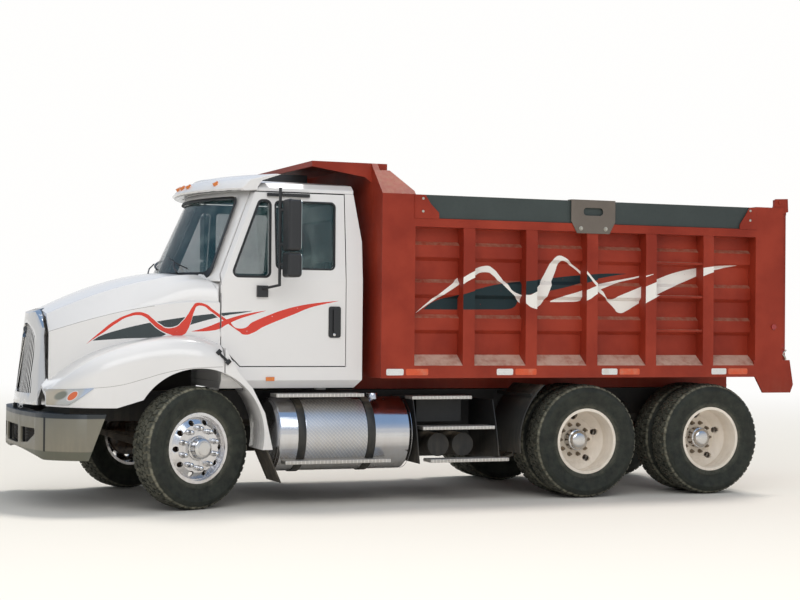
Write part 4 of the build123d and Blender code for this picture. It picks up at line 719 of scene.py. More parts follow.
# Painted stripes: a red ribbon over a dark wedge on hood and doors, and a white ribbon over a dark band on the bed's
# sides. Each was masked and sprayed across gaps, ribs and panels, so each is drawn by its two edges in side view.
def edge_height(share, edge, reach):
    """Height of a smooth line through points (x, z), for any x between the ends."""
    low = min(z for _, z in edge) - 0.05
    high = max(z for _, z in edge) + 0.05
    made = add_node(share.tree, "FloatCurve", {"Value": share})
    curve = made.mapping.curves[0]
    spots = [((x - reach[0]) / (reach[1] - reach[0]), (z - low) / (high - low)) for x, z in sorted(edge)]
    curve.points[0].location = spots[0]
    curve.points[1].location = spots[-1]
    for x, z in spots[1:-1]:
        curve.points.new(x, z)
    made.mapping.update()
    return Value(made.outputs["Value"]) * (high - low) + low


def spray(paint, colour, upper, lower, margin=0.0):
    """Paints the area between two edges over a finish, on the faces that look sideways."""
    x, y, z = paint.place()
    reach = (upper[-1][0], upper[0][0])
    share = (x - reach[0]) / (reach[1] - reach[0])
    top = edge_height(share, upper, reach) + margin
    foot = edge_height(share, lower, reach) - margin
    outer = (paint.facing()[1] * y > 0.18) * (abs(y) > 0.5)
    inside = (z < top) * (z > foot) * (share > 0.0) * (share < 1.0) * outer
    scuffs = blend_in(paint.mottle(40.0, 6.0), 0.68, 0.74) * 0.5
    paint.cover(inside * (1.0 - scuffs), colour)


stripe_red = shade(206, 42, 12)
stripe_dark = shade(24, 42, 46)
stripe_white = shade(232, 228, 222)
hood_ribbon = (
    [(3.134, 1.39), (3.014, 1.507), (2.921, 1.584), (2.813, 1.64), (2.731, 1.661), (2.675, 1.65), (2.619, 1.61),
     (2.548, 1.552), (2.49, 1.527), (2.441, 1.533), (2.377, 1.579), (2.32, 1.652), (2.284, 1.712), (2.241, 1.746),
     (2.189, 1.738), (2.116, 1.691), (1.964, 1.586), (1.872, 1.529), (1.765, 1.584), (1.627, 1.642), (1.518, 1.683),
     (1.378, 1.722), (1.221, 1.751), (0.982, 1.777)],
    [(3.134, 1.388), (3.086, 1.427), (3.001, 1.489), (2.907, 1.563), (2.799, 1.623), (2.73, 1.635), (2.682, 1.621),
     (2.632, 1.576), (2.561, 1.516), (2.476, 1.476), (2.416, 1.461), (2.361, 1.472), (2.325, 1.514), (2.297, 1.587),
     (2.269, 1.675), (2.236, 1.72), (2.204, 1.719), (2.145, 1.683), (2.053, 1.618), (1.949, 1.548), (1.879, 1.502),
     (1.825, 1.476), (1.764, 1.491), (1.672, 1.541), (1.517, 1.606), (1.393, 1.654), (1.236, 1.716), (1.109, 1.748),
     (0.982, 1.775)])
hood_dart = (
    [(2.292, 1.503), (2.216, 1.522), (2.129, 1.552), (2.055, 1.583), (1.889, 1.638), (1.766, 1.665), (1.643, 1.685)],
    [(2.292, 1.501), (2.128, 1.508), (2.069, 1.52), (1.994, 1.56), (1.888, 1.608), (1.781, 1.643), (1.643, 1.683)])
hood_wedge = (
    [(3.093, 1.417), (3.014, 1.464), (2.866, 1.515), (2.743, 1.548), (2.618, 1.576), (2.449, 1.606), (2.269, 1.634),
     (2.071, 1.657), (1.766, 1.681)],
    [(3.093, 1.415), (2.852, 1.436), (2.549, 1.457), (2.483, 1.49), (2.297, 1.558), (2.115, 1.611), (1.98, 1.643),
     (1.88, 1.658), (1.766, 1.679)])
striped_white = lined_white("striped_white")
spray(striped_white, stripe_dark, *hood_wedge)
spray(striped_white, white_tone, *hood_ribbon, margin=0.008)
spray(striped_white, stripe_red, *hood_dart)
spray(striped_white, stripe_red, *hood_ribbon)
# Painted shade: two thin grey lines follow the hood's upper crease and its lower crease from the headlamp to the wheel
# arch.
for seam in ([(3.425, 1.487), (2.9585, 1.64), (2.7, 1.698), (2.6, 1.715)],
             [(3.138, 1.031), (2.95, 1.052), (2.75, 1.102), (2.55, 1.158), (2.4, 1.187), (2.27, 1.199),
              (2.06, 1.206)]):
    spray(striped_white, shade(150, 147, 143), seam, [(x, z - 0.001) for x, z in seam], margin=0.0015)
dress(striped_white, "hood_shell", edge=0.0)
dress(striped_white, "door_left", "door_right", edge=0.004)


# Headlamps and small lamps: clear and amber moulded lenses over bright bowls, clipped into the hood and cab.
# Each headlamp has an amber turn signal beside its bowl, both slanted with the hood's edge.
def lamp_plastic(name, colour, deep):
    """Moulded lens plastic with fine flutes inside, darker between them."""
    paint = Paint(name, {"Roughness": 0.15, "Coat Weight": 0.8, "Coat Roughness": 0.03})
    flutes = paint.texture("Wave", "Fac", {"Scale": 60.0})
    paint.put("Base Color", mix_colours(flutes, colour, deep))
    paint.roughen(flutes, 0.2)
    return paint


def oval(across, up, half_width, half_height):
    """Below 1 inside an oval round the point where both are 0."""
    across, up = across / half_width, up / half_height
    return across * across + up * up


lens_clear = lamp_plastic("lens_clear", shade(196, 200, 202), shade(150, 152, 150))
lens_clear.put("Metallic", 0.35)
lamp_z, lamp_slant, signal_x, bowl_x, lamp_half_height = 0.962, 0.55, 3.296, 3.372, 0.038
x, _, z = lens_clear.place()
above = z - lamp_z
slanted = above * lamp_slant + x
signal = oval(slanted - signal_x, above, 0.028, lamp_half_height)
bowl = oval(slanted - bowl_x, above, 0.036, lamp_half_height)
# Painted reflections: the warm beige front of each headlamp stands for the ground and its blue-grey rear for the sky.
for mask, tone in ((blend_in(slanted, 3.345, 3.385), shade(170, 162, 146)),
                   (blend_in(slanted, 3.26, 3.225), shade(168, 182, 204)),
                   (blend_in(bowl, 1.4, 0.5), shade(104, 108, 98)),
                   (blend_in(signal, 1.45, 1.25), shade(214, 214, 216)),
                   (blend_in(signal, 1.05, 0.9), shade(208, 96, 44))):
    lens_clear.cover(mask, tone)
dress(lens_clear, "headlamps", edge=0.002)
amber = lamp_plastic("amber_lens", shade(226, 128, 24), shade(186, 88, 10))
dress(amber, "amber_lamps", edge=0.003)


# Windows: tinted safety glass, a little smeared, with a green-grey body tint. The windscreen and rear pane are held in
# black rubber, the door panes in felt-lined runs.
glass = Paint("tinted_glass", {"Specular IOR Level": 0.9})
smears = blend_in(glass.mottle(4.0, 5.0), 0.4, 0.8)
glass.put("Base Color", mix_colours(smears, shade(18, 66, 70), shade(104, 126, 124)))
glass.put("Alpha", smears * 0.12 + 0.34)
glass.put("Roughness", smears * 0.05 + 0.02)
dress(glass, "cab_glass", "door_glass_left", "door_glass_right", edge=0.0)


def surface_of(*names):
    """The faces of CAD nodes, to stand pieces on."""
    corners, faces = [], []
    for name in names:
        mesh = cad[name].data
        first = len(corners)
        corners += [v.co.copy() for v in mesh.vertices]
        faces += [[first + i for i in p.vertices] for p in mesh.polygons]
    return BVHTree.FromPolygons(corners, faces)


def first_hit(onto, start, look):
    """Where a straight look from a start meets the faces, or None."""
    return onto.ray_cast(Vector(start), Vector(look))[0]


def rounded_outline(corners, radius, step=0.04):
    """A closed outline with arcs at its corners and points along its runs."""
    out = []
    count = len(corners)
    for i in range(count):
        here = Vector(corners[i])
        back = (Vector(corners[i - 1]) - here).normalized()
        ahead = (Vector(corners[(i + 1) % count]) - here).normalized()
        half = back.angle(ahead) / 2
        cut = radius / math.tan(half)
        centre = here + (back + ahead).normalized() * (radius / math.sin(half))
        start, end = here + back * cut - centre, here + ahead * cut - centre
        for n in range(7):
            out.append(centre + start.normalized().slerp(end.normalized(), n / 6) * radius)
    filled = []
    for here, following in zip(out, out[1:] + out[:1]):
        filled.append(here)
        parts = int((following - here).length / step)
        filled += [here.lerp(following, n / (parts + 1)) for n in range(1, parts + 1)]
    return filled


def grow(points, by):
    """Moves a closed outline outward by a width, or by each point's own width."""
    area = sum(a.x * b.y - a.y * b.x for a, b in zip(points, points[1:] + points[:1]))
    turn = 1.0 if area > 0 else -1.0
    grown = []
    for i, here in enumerate(points):
        along = (points[(i + 1) % len(points)] - points[i - 1]).normalized()
        width = by(here) if callable(by) else by
        grown.append(here + Vector((along.y, -along.x)) * turn * width)
    return grown


def rubber_ring(name, outline, width, onto, from_side, lift, body, paint):
    """A rubber section round an opening, lying on the panel, found by looking at it from one side."""
    along_x = from_side in ("front", "rear")
    way = {"front": 1.0, "rear": -1.0}.get(from_side, from_side)
    look = Vector((-way, 0.0, 0.0) if along_x else (0.0, -way, 0.0))

    def stand(point, height):
        start = (4.0 * way, point.x, point.y) if along_x else (point.x, 3.0 * way, point.y)
        hit = first_hit(onto, start, look)
        return None if hit is None else hit - look * height

    bm = bmesh.new()
    rows = []
    inner_seat = grow(outline, 0.003)
    tiers = ((outline, -0.016), (grow(outline, -0.001), lift * 0.8), (grow(outline, 0.004), lift),
             (grow(outline, lambda p: (width(p) if callable(width) else width) - 0.003), lift * 0.8),
             (grow(outline, width), -0.001))
    for points, height in tiers:
        row = []
        for spot, seat in zip(points, inner_seat):
            at, on_seat = stand(spot, height), stand(seat, height)
            if at is None or (on_seat - at).length > 0.03:
                at = Vector((on_seat.x, spot.x, spot.y) if along_x else (spot.x, on_seat.y, spot.y))
            row.append(bm.verts.new(at))
        rows.append(row)
    skin(bm, rows + rows[:1], caps=False)
    return add_piece(name, bm, paint, body, 50.0)


window_rubber = finish("window_rubber", shade(20, 21, 22), 0.55, ledge_dust=0.25, low_dust=0.0, relief=0.1)
screen_outline = rounded_outline([(-0.88, 2.01), (0.88, 2.01), (0.8, 2.655), (-0.8, 2.655)], 0.06)
front_shell = surface_of("cab_front")
# On the pillars the rubber widens to 70 mm: partly the real black pillar trim, partly a dark band as painted shade.
rubber_ring("windscreen_rubber", screen_outline, lambda p: 0.07 if abs(p.x) > 0.79 else 0.024, front_shell, "front",
            0.006,
            "chassis", window_rubber)
rear_outline = rounded_outline([(-0.62, 2.06), (0.62, 2.06), (0.62, 2.52), (-0.62, 2.52)], 0.06)
rubber_ring("rear_window_rubber", rear_outline, 0.024, surface_of("cab_back"), "rear", 0.006, "chassis", window_rubber)
vent_outline = rounded_outline([(1.9385, 1.985), (1.6165, 1.985), (1.5985, 2.63), (1.6835, 2.63)], 0.034)
drop_outline = rounded_outline([(1.5435, 2.055), (1.0215, 2.055), (1.0035, 2.63), (1.5435, 2.63)], 0.034)
for side, hand in both_sides:
    door = f"door_{hand}"
    panel = surface_of(door)
    rubber_ring(f"vent_rubber_{door}", vent_outline, 0.02, panel, side, 0.005, door, window_rubber)
    rubber_ring(f"drop_rubber_{door}", drop_outline, 0.014, panel, side, 0.004, door, window_rubber)


# Mirrors and door furniture: black moulded heads on a bent tube, with silvered glass facing back, a recessed black
# pull handle and a key lock in each door.
mirror_black = finish("mirror_black", shade(30, 31, 33), 0.42, ledge_dust=0.2, low_dust=0.0, relief=0.3, grain=300.0)
dress(mirror_black, "mirror_left", "mirror_right", edge=0.0)
silvered = finish("silvered_glass", shade(190, 200, 202), 0.03, metallic=1.0, fade=0.02, ledge_dust=0.1, low_dust=0.0,
                  relief=0.0)
for side, hand in both_sides:
    door = f"door_{hand}"
    bm = bmesh.new()
    for x, low, high in ((1.4535, 2.206, 2.616), (1.4485, 1.984, 2.162)):
        pane = rounded_outline([(side * 1.238, low), (side * 1.407, low), (side * 1.407, high), (side * 1.238, high)],
                               0.02)
        skin(bm, [[bm.verts.new((x + dx, p.x, p.y)) for p in grow(pane, by)]
                  for dx, by in ((0.002, 0.0), (-0.0015, 0.0), (-0.003, -0.003), (-0.004, -0.02))])
    add_piece(f"mirror_glass_{door}", bm, silvered, door)
    bm = bmesh.new()
    turn_profile(bm, [(0.0, -0.002), (0.0125, -0.002), (0.0125, 0.0035), (0.01, 0.005), (0.004, 0.005),
                      (0.0035, 0.003), (0.0, 0.003)], sides=20)
    at = Matrix.Translation((1.0195, side * 1.042, 1.482)) @ Matrix.Rotation(faced_out[side], 4, "Z")
    add_piece(f"key_lock_{door}", bm, chrome, door, at=at)


# Windscreen wipers: two black pressed arms on spindles in the cowl, each with a sprung blade lying on the glass.
# Arms and blades are bars of one section, bent along points found on the cowl and the glass.
def bar_along(bm, path, width, height, up):
    """A bar of rectangular section with a raised back along a path, seated on its underside."""
    rows = []
    for i, here in enumerate(path):
        along = (path[min(i + 1, len(path) - 1)] - path[max(i - 1, 0)]).normalized()
        across = along.cross(up).normalized() * (width / 2)
        rows.append([bm.verts.new(here + across * wide + up * height * tall)
                     for wide, tall in ((-1, 0), (-1, 0.6), (-0.4, 1), (0.4, 1), (1, 0.6), (1, 0))])
    skin(bm, rows)


screen = surface_of("cab_glass")
screen_up = Vector((math.cos(math.radians(25)), 0.0, math.sin(math.radians(25))))
bm = bmesh.new()
for heel, inboard in ((0.58, 0.16), (-0.06, -0.7)):
    swept = [first_hit(screen, (4.0, heel + (inboard - heel) * n / 12, 2.045 + 0.1 * n / 12), (-1, 0, 0))
             for n in range(13)]
    blade = [spot for spot in swept if spot]
    bar_along(bm, [p + screen_up * 0.001 for p in blade], 0.01, 0.022, screen_up)
    foot = first_hit(front_shell, (4.0, heel - 0.02, 1.985), (-1, 0, 0))
    middle = blade[6] + screen_up * 0.022
    arm = [foot, foot + screen_up * 0.03 + Vector((0, 0, 0.012)), foot.lerp(middle, 0.5) + screen_up * 0.034,
           middle + screen_up * 0.004]
    bar_along(bm, arm, 0.018, 0.01, screen_up)
add_piece("wipers", bm, mirror_black, "chassis")


# Hood shoulders: the moulded hood is fuller than a straight fold where it meets the cowl, so that its top runs level
# out to the door line before it rolls over. Same moulding and paint as the hood, and they tilt with it.
hood_shell_faces = surface_of("hood_shell")
hood_stations = ((2.0475, 1.03, 1.745), (2.5685, 0.96, 1.722), (2.9585, 0.845, 1.64))
shoulder_rise = ((0.0, 0.0), (0.1, 0.01), (0.26, 0.032), (0.46, 0.064), (0.64, 0.096), (0.78, 0.108), (0.88, 0.1),
                 (0.95, 0.07), (0.985, 0.03), (1.0, 0.0))
shoulder_share, shoulder_rear_x, shoulder_front_x = 0.76, 2.056, 2.9
shoulder_rows, shoulder_points = 19, 27


def between(table, at, column=1):
    for first, second in zip(table, table[1:]):
        if at <= second[0]:
            share = max(0.0, (at - first[0]) / (second[0] - first[0]))
            return first[column] + (second[column] - first[column]) * share
    return table[-1][column]


def hood_below(side, x, share):
    """How far out a share of the hood's half width lies, and its top there or None."""
    half = between(hood_stations, x)
    y = min(half * share, half - 0.006)
    return y, first_hit(hood_shell_faces, (x, side * y, 3.0), (0, 0, -1))


for side, hand in both_sides:
    bm = bmesh.new()
    rows = []
    for n in range(shoulder_rows):
        across = n / (shoulder_rows - 1)
        share = shoulder_share + (1.0 - shoulder_share) * across
        row = []
        rear = shoulder_rear_x
        for i in range(shoulder_points):
            x = rear + (shoulder_front_x - rear) * (i / (shoulder_points - 1)) ** 1.3
            y, hit = hood_below(side, x, share)
            if i == 0:
                while hit is None or hit.z < 1.7:
                    x += 0.004
                    y, hit = hood_below(side, x, share)
                x = rear = x + 0.003
            ground = hit.z if hit is not None and hit.z > 1.55 else between(hood_stations, x, 2)
            fade = 0.5 + 0.5 * math.cos(math.pi * min(1.0, max(0.0, (x - 2.12) / (2.88 - 2.12))))
            border = n in (0, shoulder_rows - 1) or i == shoulder_points - 1
            lift = -0.002 if border else between(shoulder_rise, across) * fade + 0.0006
            row.append(Vector((x, side * y, ground + lift)))
        rows.append(row)
    grid = [[bm.verts.new(p) for p in row] for row in rows]
    skin(bm, grid, closed=False, caps=False)
    foot = []
    for edge in (row[0] for row in rows):
        hit = first_hit(hood_shell_faces, (edge.x, edge.y, 3.0), (0, 0, -1))
        foot.append(bm.verts.new(Vector((edge.x, edge.y, (hit or edge).z - 0.003))))
    skin(bm, [[row[0] for row in grid], foot], closed=False, caps=False)
    add_piece(f"hood_shoulder_{hand}", bm, striped_white, "hood", 40.0)


# Cowl sides: a white pressed panel each side closes the corner between the hood's rear edge and the cab wall. It is
# screwed to the cowl and stays there when the hood tilts.
hood_rear_edge = ((0.8, 2.212), (0.85, 2.182), (0.9, 2.15), (0.95, 2.114), (0.98, 2.092), (1.0, 2.076), (1.02, 2.06),
                  (1.028, 2.054))
cab_wall_x, door_clear_x, door_from_y, panel_low, hood_gap = 2.037, 2.052, 0.955, 1.53, 0.016
panel_from_y, panel_to_y, cut_edge = 0.8, 0.985, 0.006
for side, hand in both_sides:
    hood_top = BVHTree.FromObject(bpy.data.objects[f"hood_shoulder_{hand}"], bpy.context.evaluated_depsgraph_get())
    bm = bmesh.new()
    columns = []
    top = 1.9
    for n in range(17):
        y = panel_from_y + (panel_to_y - panel_from_y) * n / 16
        front = between(hood_rear_edge, y) - hood_gap
        back = door_clear_x if y > door_from_y else cab_wall_x
        hit = first_hit(hood_top, (front + 0.03, side * y, 3.0), (0, 0, -1))
        if hit is not None:
            top = hit.z - 0.01
        columns.append([bm.verts.new(Vector((x, side * y, z))) for x, z in (
            (back, top), (front - cut_edge, top), (front, top - cut_edge), (front, panel_low), (back, panel_low))])
    skin(bm, columns)
    add_piece(f"cowl_side_{hand}", bm, cab_white, "chassis")


# Hood latches: a moulded rubber strap on each side that hooks the hood down to the fender extension. Each has a
# thicker pull at both ends, and lies just clear of the painted panels.
fender_faces = surface_of("hood_shell", "fender_extensions", "cab_sides")
bm = bmesh.new()
for side in (1, -1):
    outward = Vector((0.0, side, 0.0))
    path = []
    for x, z in ((2.098, 1.33), (2.085, 1.312), (2.068, 1.294), (2.05, 1.278), (2.034, 1.262), (2.018, 1.246)):
        hit = first_hit(fender_faces, (x, side * 3.0, z), -outward)
        if hit:
            path.append(hit + outward * 0.0085)
    bar_along(bm, path, 0.02, 0.012, outward)
    for end in (path[0], path[-1]):
        bar_along(bm, [end + Vector((-0.016, 0, 0.016)), end + Vector((0.016, 0, -0.016))], 0.034, 0.016, outward)
add_piece("hood_latches", bm, window_rubber, "hood")


# Seats: foam cushions in dark woven cloth on steel pedestals, sewn in channels. Each cushion is crowned, with its
# sides drawn in between the corners.
seat_cloth = Paint("seat_cloth", {"Roughness": 0.9, "Sheen Weight": 0.3})
weave = sum(seat_cloth.texture("Wave", "Fac", {"Scale": 180.0}, bands_direction=axis) for axis in "XYZ") * 0.33
worn = blend_in(seat_cloth.mottle(5.0, 5.0), 0.35, 0.7)
thread = mix_colours(worn, shade(44, 46, 50), shade(66, 67, 70))
seat_cloth.put("Base Color", mix_colours(weave, thread, shade(88, 90, 94)))
seat_cloth.roughen(weave, 0.4, 0.0006)
interior_grey = finish("interior_grey", shade(60, 61, 62), 0.7, ledge_dust=0.1, low_dust=0.0, relief=0.3, grain=300.0)


def pad(name, size, at, crown, channels, pinch):
    """A cushion: rounded, crowned on top, drawn in at its sides, with sewn channels across its face."""
    bm = bmesh.new()
    bmesh.ops.create_cube(bm, size=2.0)
    bmesh.ops.subdivide_edges(bm, edges=bm.edges[:], cuts=23, use_grid_fill=True)
    for v in bm.verts:
        p = v.co.copy()
        p /= (abs(p.x) ** 7 + abs(p.y) ** 7 + abs(p.z) ** 7) ** (1 / 7)
        x, y, z = p
        top = max(0.0, z)
        lift = crown * (1 - x * x) * (1 - y * y) * top
        for line in channels:
            lift -= 0.011 * math.exp(-((y - line) / 0.045) ** 2) * top ** 3 * (1 - abs(x) ** 8)
        seam = 0.006 * math.exp(-((z - 0.55) / 0.1) ** 2)
        v.co = Vector((x * (size[0] / 2 * (1 - pinch * (1 - y * y) * abs(x) ** 3) - seam),
                       y * (size[1] / 2 * (1 - pinch * (1 - x * x) * abs(y) ** 3) - seam), z * size[2] / 2 + lift))
    cushion = add_piece(name, bm, seat_cloth, "chassis", 180.0, at)
    smooth = cushion.modifiers.new("foam_roundness", "SUBSURF")
    smooth.levels = smooth.render_levels = 1
    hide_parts("cab_interior")
    return cushion


back_lean = math.atan2(0.085, 0.68)
sewn_lines = (-0.48, -0.16, 0.16, 0.48)
for side, hand in ((1, "driver"), (-1, "passenger")):
    pad(f"{hand}_cushion", (0.52, 0.5, 0.135), Matrix.Translation((1.2075, side * 0.48, 1.405)), 0.012, sewn_lines,
        0.03)
    pad(f"{hand}_backrest", (0.66, 0.48, 0.105), Matrix.Translation((0.94, side * 0.48, 1.812)) @
        Matrix.Rotation(math.pi / 2 - back_lean, 4, "Y"), 0.01, sewn_lines, 0.03)


# Cab fittings: moulded grey dashboard with a hooded gauge cluster, steering wheel and column, seat pedestals.
# The dashboard is screwed to the cab's front wall, and the steering wheel is a foam-covered steel rim on three spokes.
def block(bm, low, high, inset):
    """A box, its edges cut by the inset."""
    corners = bmesh.ops.create_cube(bm, size=1.0)["verts"]
    for v in corners:
        v.co = Vector([low[i] + (high[i] - low[i]) * (v.co[i] + 0.5) for i in range(3)])
    edges = list(dict.fromkeys(e for v in corners for e in v.link_edges))
    bmesh.ops.bevel(bm, geom=edges, offset=inset, segments=3, profile=0.5, affect="EDGES")


def tube(bm, path, radius, sides=14, closed=None):
    """A round bar along a path. A closed ring gives its axis."""
    rows = []
    count = len(path)
    for i, here in enumerate(path):
        ahead = path[(i + 1) % count] if closed or i + 1 < count else here
        back = path[i - 1] if closed or i else here
        along = (ahead - back).normalized()
        if abs(along.y) < 0.9 and not closed:
            first = along.orthogonal()
        else:
            first = along.cross(closed or Vector((1, 0, 0)))
        first.normalize()
        second = along.cross(first).normalized()
        turns = [math.tau * n / sides for n in range(sides)]
        rows.append([bm.verts.new(here + (first * math.cos(a) + second * math.sin(a)) * radius) for a in turns])
    skin(bm, rows + (rows[:1] if closed else []), caps=not closed)


bm = bmesh.new()
dash_x, seat_y = 1.978, 0.48
dash_line = rounded_outline([(dash_x, 1.482), (dash_x - 0.27, 1.56), (dash_x - 0.318, 1.8), (dash_x - 0.14, 1.922),
                             (dash_x, 1.922)], 0.03, 0.08)
skin(bm, [[bm.verts.new((p.x, y, p.y)) for p in grow(dash_line, by)] for y, by in (
    (-0.955, -0.018), (-0.948, -0.002), (-0.6, 0.0), (0.0, 0.0), (0.6, 0.0), (0.948, -0.002), (0.955, -0.018))])
block(bm, (1.655, 0.26, 1.81), (1.86, 0.7, 1.945), 0.025)
block(bm, (1.65, -0.16, 1.6), (1.7, 0.18, 1.8), 0.01)
for side in (1, -1):
    block(bm, (1.0125, side * seat_y - 0.19, 1.0765), (1.3925, side * seat_y + 0.19, 1.345), 0.02)
column_foot, column_head = Vector((1.7385, seat_y, 1.64)), Vector((1.5285, seat_y, 1.793))
tube(bm, [column_foot, column_head], 0.028)
dash = add_piece("dashboard_and_pedestals", bm, interior_grey, "chassis", 40.0)
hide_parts("cab_interior")

bm = bmesh.new()
wheel_axis = (column_head - column_foot).normalized()
wheel_side = Vector((0.0, 1.0, 0.0))
wheel_up = wheel_axis.cross(wheel_side)
rim_path = [column_head + (wheel_side * math.cos(math.tau * n / 48) + wheel_up * math.sin(math.tau * n / 48)) * 0.224
            for n in range(48)]
tube(bm, rim_path, 0.0145, 12, wheel_axis)
for turn in (90, 210, 330):
    arm = wheel_side * math.cos(math.radians(turn)) + wheel_up * math.sin(math.radians(turn))
    tube(bm, [column_head + arm * 0.03 - wheel_axis * 0.004, column_head + arm * 0.215], 0.01, 10)
tube(bm, [column_head - wheel_axis * 0.03, column_head + wheel_axis * 0.012, column_head + wheel_axis * 0.0125], 0.058,
     24)
steering = add_piece("steering_wheel", bm, mirror_black, "chassis", 40.0)
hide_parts("cab_interior")


# Bed: welded steel tipping body in oxide red. Pressed panels with three swages, box ribs and rails outside, folded
# posts. Sun-faded on its faces and pale with dust on every ledge; the low sills are also lightened as painted
# sunlight.
bed_red, striped_red = (finish(name, shade(138, 42, 24), 0.5, fade=0.1, ledge_dust=0.38, low_dust=0.15, dust_from=1.3,
                               relief=0.1, faded=shade(154, 54, 34)) for name in ("bed_red", "striped_red"))
for paint in (bed_red, striped_red):
    paint.put("Specular IOR Level", 0.25)
dress(bed_red, "bed_floor", "bed_headboard", "tailgate", edge=0.004)
bed_ribbon = (
    [(0.272, 1.682), (0.162, 1.773), (-0.037, 1.925), (-0.169, 2.022), (-0.304, 2.083), (-0.381, 2.108),
     (-0.426, 2.112),
     (-0.47, 2.094), (-0.549, 2.02), (-0.61, 1.95), (-0.7, 1.87), (-0.779, 1.853), (-0.823, 1.866),
     (-0.925, 1.942), (-0.989, 2.034), (-1.045, 2.132), (-1.095, 2.205), (-1.134, 2.22), (-1.174, 2.21),
     (-1.253, 2.161), (-1.361, 2.088), (-1.477, 1.975), (-1.593, 1.893), (-1.669, 1.826), (-1.746, 1.855),
     (-1.953, 1.934), (-2.19, 2.025), (-2.401, 2.095), (-2.587, 2.132), (-2.822, 2.16), (-3.039, 2.17)],
    [(0.272, 1.68), (0.183, 1.74), (0.033, 1.835), (-0.091, 1.912), (-0.2, 1.98), (-0.305, 2.024), (-0.371, 2.052),
     (-0.426, 2.053), (-0.471, 2.032), (-0.539, 1.968), (-0.61, 1.904), (-0.7, 1.828), (-0.768, 1.765),
     (-0.825, 1.735), (-0.874, 1.727), (-0.935, 1.75), (-0.991, 1.809), (-1.028, 1.88), (-1.057, 1.952),
     (-1.114, 2.087), (-1.137, 2.15), (-1.16, 2.173), (-1.2, 2.166), (-1.264, 2.131), (-1.361, 2.062),
     (-1.472, 1.946), (-1.639, 1.82), (-1.733, 1.736), (-1.765, 1.705), (-1.798, 1.7), (-1.84, 1.714),
     (-1.952, 1.774), (-2.091, 1.843), (-2.309, 1.942), (-2.463, 1.998), (-2.588, 2.048), (-2.713, 2.094),
     (-2.919, 2.145), (-3.039, 2.168)])
bed_dart = (
    [(-1.06, 1.802), (-1.156, 1.841), (-1.336, 1.893), (-1.478, 1.947), (-1.671, 1.989), (-1.967, 2.045),
     (-2.07, 2.068)],
    [(-1.06, 1.794), (-1.232, 1.797), (-1.35, 1.805), (-1.478, 1.871), (-1.563, 1.916), (-1.652, 1.95),
     (-1.79, 1.991), (-1.968, 2.031), (-2.07, 2.064)])
bed_band = (
    [(0.193, 1.718), (0.108, 1.78), (0.043, 1.805), (-0.078, 1.834), (-0.311, 1.9), (-0.534, 1.95), (-0.766, 1.978),
     (-1.081, 2.015), (-1.345, 2.044), (-1.577, 2.063), (-1.848, 2.069)],
    [(0.193, 1.712), (-0.088, 1.713), (-0.4, 1.718), (-0.64, 1.724), (-0.7, 1.748), (-0.767, 1.85),
     (-0.83, 1.868), (-1.062, 1.901), (-1.338, 1.965), (-1.577, 2.021), (-1.848, 2.067)])
spray(striped_red, stripe_dark, *bed_band)
spray(striped_red, stripe_white, *bed_dart)
spray(striped_red, stripe_white, *bed_ribbon)
# The upward faces of the low sills turn pinkish beige: partly real dust, partly painted sunlight on the sills.
on_sill = blend_in(striped_red.facing()[2], 0.3, 0.6) * blend_in(striped_red.place()[2], 1.36, 1.33)
sill_dust_and_sunlight = blend_in(striped_red.mottle(7.0, 6.0, roughness=0.7), 0.2, 0.6) * 0.75
striped_red.cover(on_sill * sill_dust_and_sunlight, shade(206, 176, 160))
dress(striped_red, "bed_side_left", "bed_side_right", edge=0.004)

# Sideboards: dark boards dropped behind the top rail, held by a folded steel clip at the middle of each side.
# The rear lamps' red lenses are finished here too.
board_green = finish("board_green", shade(54, 62, 60), 0.7, ledge_dust=0.5, low_dust=0.0)
dress(board_green, "sideboards", edge=0.004)
clip_steel = finish("clip_steel", shade(112, 103, 94), 0.55, metallic=0.5, ledge_dust=0.4, low_dust=0.0)
dress(clip_steel, "board_clips", edge=0.003)
dress(lamp_plastic("red_lens", shade(176, 22, 18), shade(120, 8, 8)), "tail_lamps", edge=0.002)


# Floor lip: a steel strip welded under the floor's rear edge, in the bed's paint. It narrows the slot below the
# tailgate, which swings clear above it.
bm = bmesh.new()
block(bm, (-3.505, -0.995, 1.19), (-3.4, 0.995, 1.204), 0.0)
add_piece("floor_lip", bm, bed_red, "bed")


# Bed hardware: bolted gusset plates that stop the sideboards at both ends, bolts under the middle clip, and the
# tailgate's side latches. Plates in the bed's paint, fasteners zinc-plated.
bed_faces = {side: surface_of(f"bed_side_{hand}", "board_clips", "sideboards") for side, hand in both_sides}
zinc = finish("zinc_plate", shade(186, 182, 170), 0.4, metallic=0.7, ledge_dust=0.3, low_dust=0.0)


def flat_plate(bm, outline, side, low, high):
    """A plate standing on the bed's outer face, from its outline (x, z), with a small cut edge."""
    points = [Vector(p) for p in outline]
    skin(bm, [[bm.verts.new((p.x, side * y, p.y)) for p in grow(points, by)]
              for y, by in ((low, 0.0), (high - 0.0015, 0.0), (high, -0.0015))])


def bolt_head(bm, onto, side, x, z, radius, height):
    """A hexagon head with its washer, on whatever face is there."""
    hit = first_hit(onto, (x, 3.0 * side, z), (0, -side, 0))
    first = len(bm.verts)
    turn_profile(bm, [(0.0, -0.002), (radius * 1.5, -0.002), (radius * 1.5, 0.002), (radius * 1.05, 0.0025)], sides=18)
    turn_profile(bm, [(radius, 0.002), (radius, 0.002 + height * 0.8), (radius * 0.8, 0.002 + height),
                      (0.0, 0.002 + height)], sides=6)
    bm.verts.ensure_lookup_table()
    for v in bm.verts[first:]:
        v.co = Vector((hit.x + v.co.x, hit.y + side * v.co.y, hit.z + v.co.z))


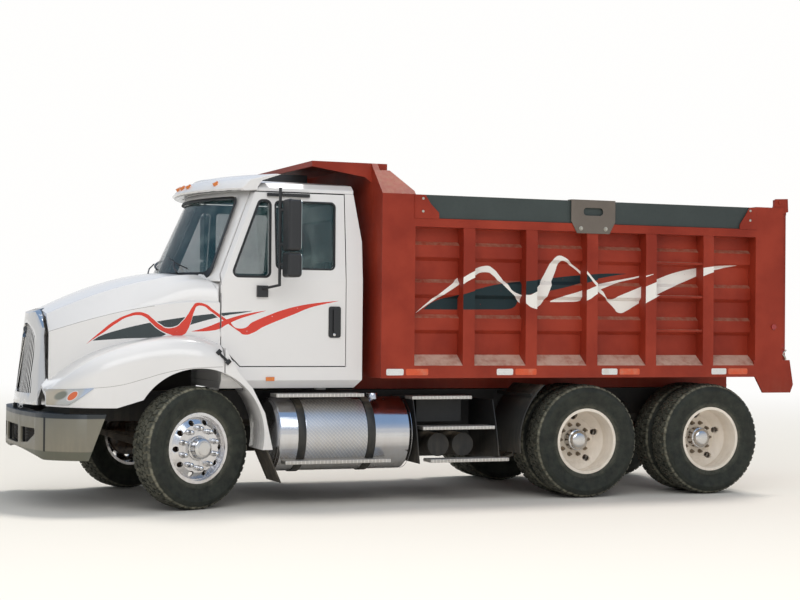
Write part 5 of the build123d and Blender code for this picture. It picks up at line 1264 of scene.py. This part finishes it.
front_gusset = [(0.345, 2.512), (0.345, 2.722), (0.245, 2.722), (0.19, 2.64), (0.113, 2.566), (0.111, 2.512)]
rear_gusset = [(-3.2, 2.512), (-3.2, 2.722), (-3.12, 2.722), (-3.006, 2.556), (-3.004, 2.512)]
bolt_places = ((0.267, 2.688), (0.267, 2.575), (-3.12, 2.69), (-3.12, 2.598), (-1.555, 2.47), (-1.299, 2.47))
latch_hook = ((-3.478, 1.352), (-3.52, 1.318), (-3.545, 1.3), (-3.556, 1.27))
latch_lever = ((-3.478, 1.285), (-3.56, 1.362))
latch_y = 1.192
bm = bmesh.new()
for side in (1, -1):
    flat_plate(bm, front_gusset, side, 1.2185, 1.2265)
    flat_plate(bm, rear_gusset, side, 1.2185, 1.2265)
add_piece("board_gussets", bm, bed_red, "bed")

bm = bmesh.new()
for side in (1, -1):
    for x, z in bolt_places:
        bolt_head(bm, bed_faces[side], side, x, z, 0.013, 0.012)
    for line, radius in ((latch_hook, 0.009), (latch_lever, 0.007)):
        tube(bm, [Vector((x, side * latch_y, z)) for x, z in line], radius, 10)
add_piece("bed_fasteners", bm, zinc, "bed")


# Reflective strips: bare white and orange pieces of plastic sheeting with rounded corners, stuck along both lower
# rails in four pairs a side.
def reflective(name, colour):
    """Sheeting with a fine honeycomb under a clear face."""
    paint = Paint(name, {"Roughness": 0.3})
    cells = paint.texture("Voronoi", "Distance", {"Scale": 260.0}, feature="DISTANCE_TO_EDGE")
    walls = blend_in(cells, 0.1, 0.04)
    grime = blend_in(paint.mottle(9.0, 5.0), 0.45, 0.8) * 0.4
    toned = mix_colours(walls, colour, tuple(c * 0.8 for c in colour[:3]) + (1.0,))
    paint.put("Base Color", mix_colours(grime, toned, road_dust))
    paint.roughen(walls, 0.2)
    return paint


white_strips, orange_strips = bmesh.new(), bmesh.new()
for side in (1, -1):
    for start in (0.6, -0.464, -1.53, -2.705):
        for bm, x0, x1 in ((white_strips, start, start - 0.165), (orange_strips, start - 0.185, start - 0.4)):
            strip = [tuple(p) for p in rounded_outline([(x0, 1.13), (x0, 1.188), (x1, 1.188), (x1, 1.13)], 0.014)]
            flat_plate(bm, strip, side, 1.219, 1.2208)
add_piece("white_strips", white_strips, reflective("white_sheeting", shade(226, 226, 224)), "bed")
add_piece("orange_strips", orange_strips, reflective("orange_sheeting", shade(214, 84, 42)), "bed")
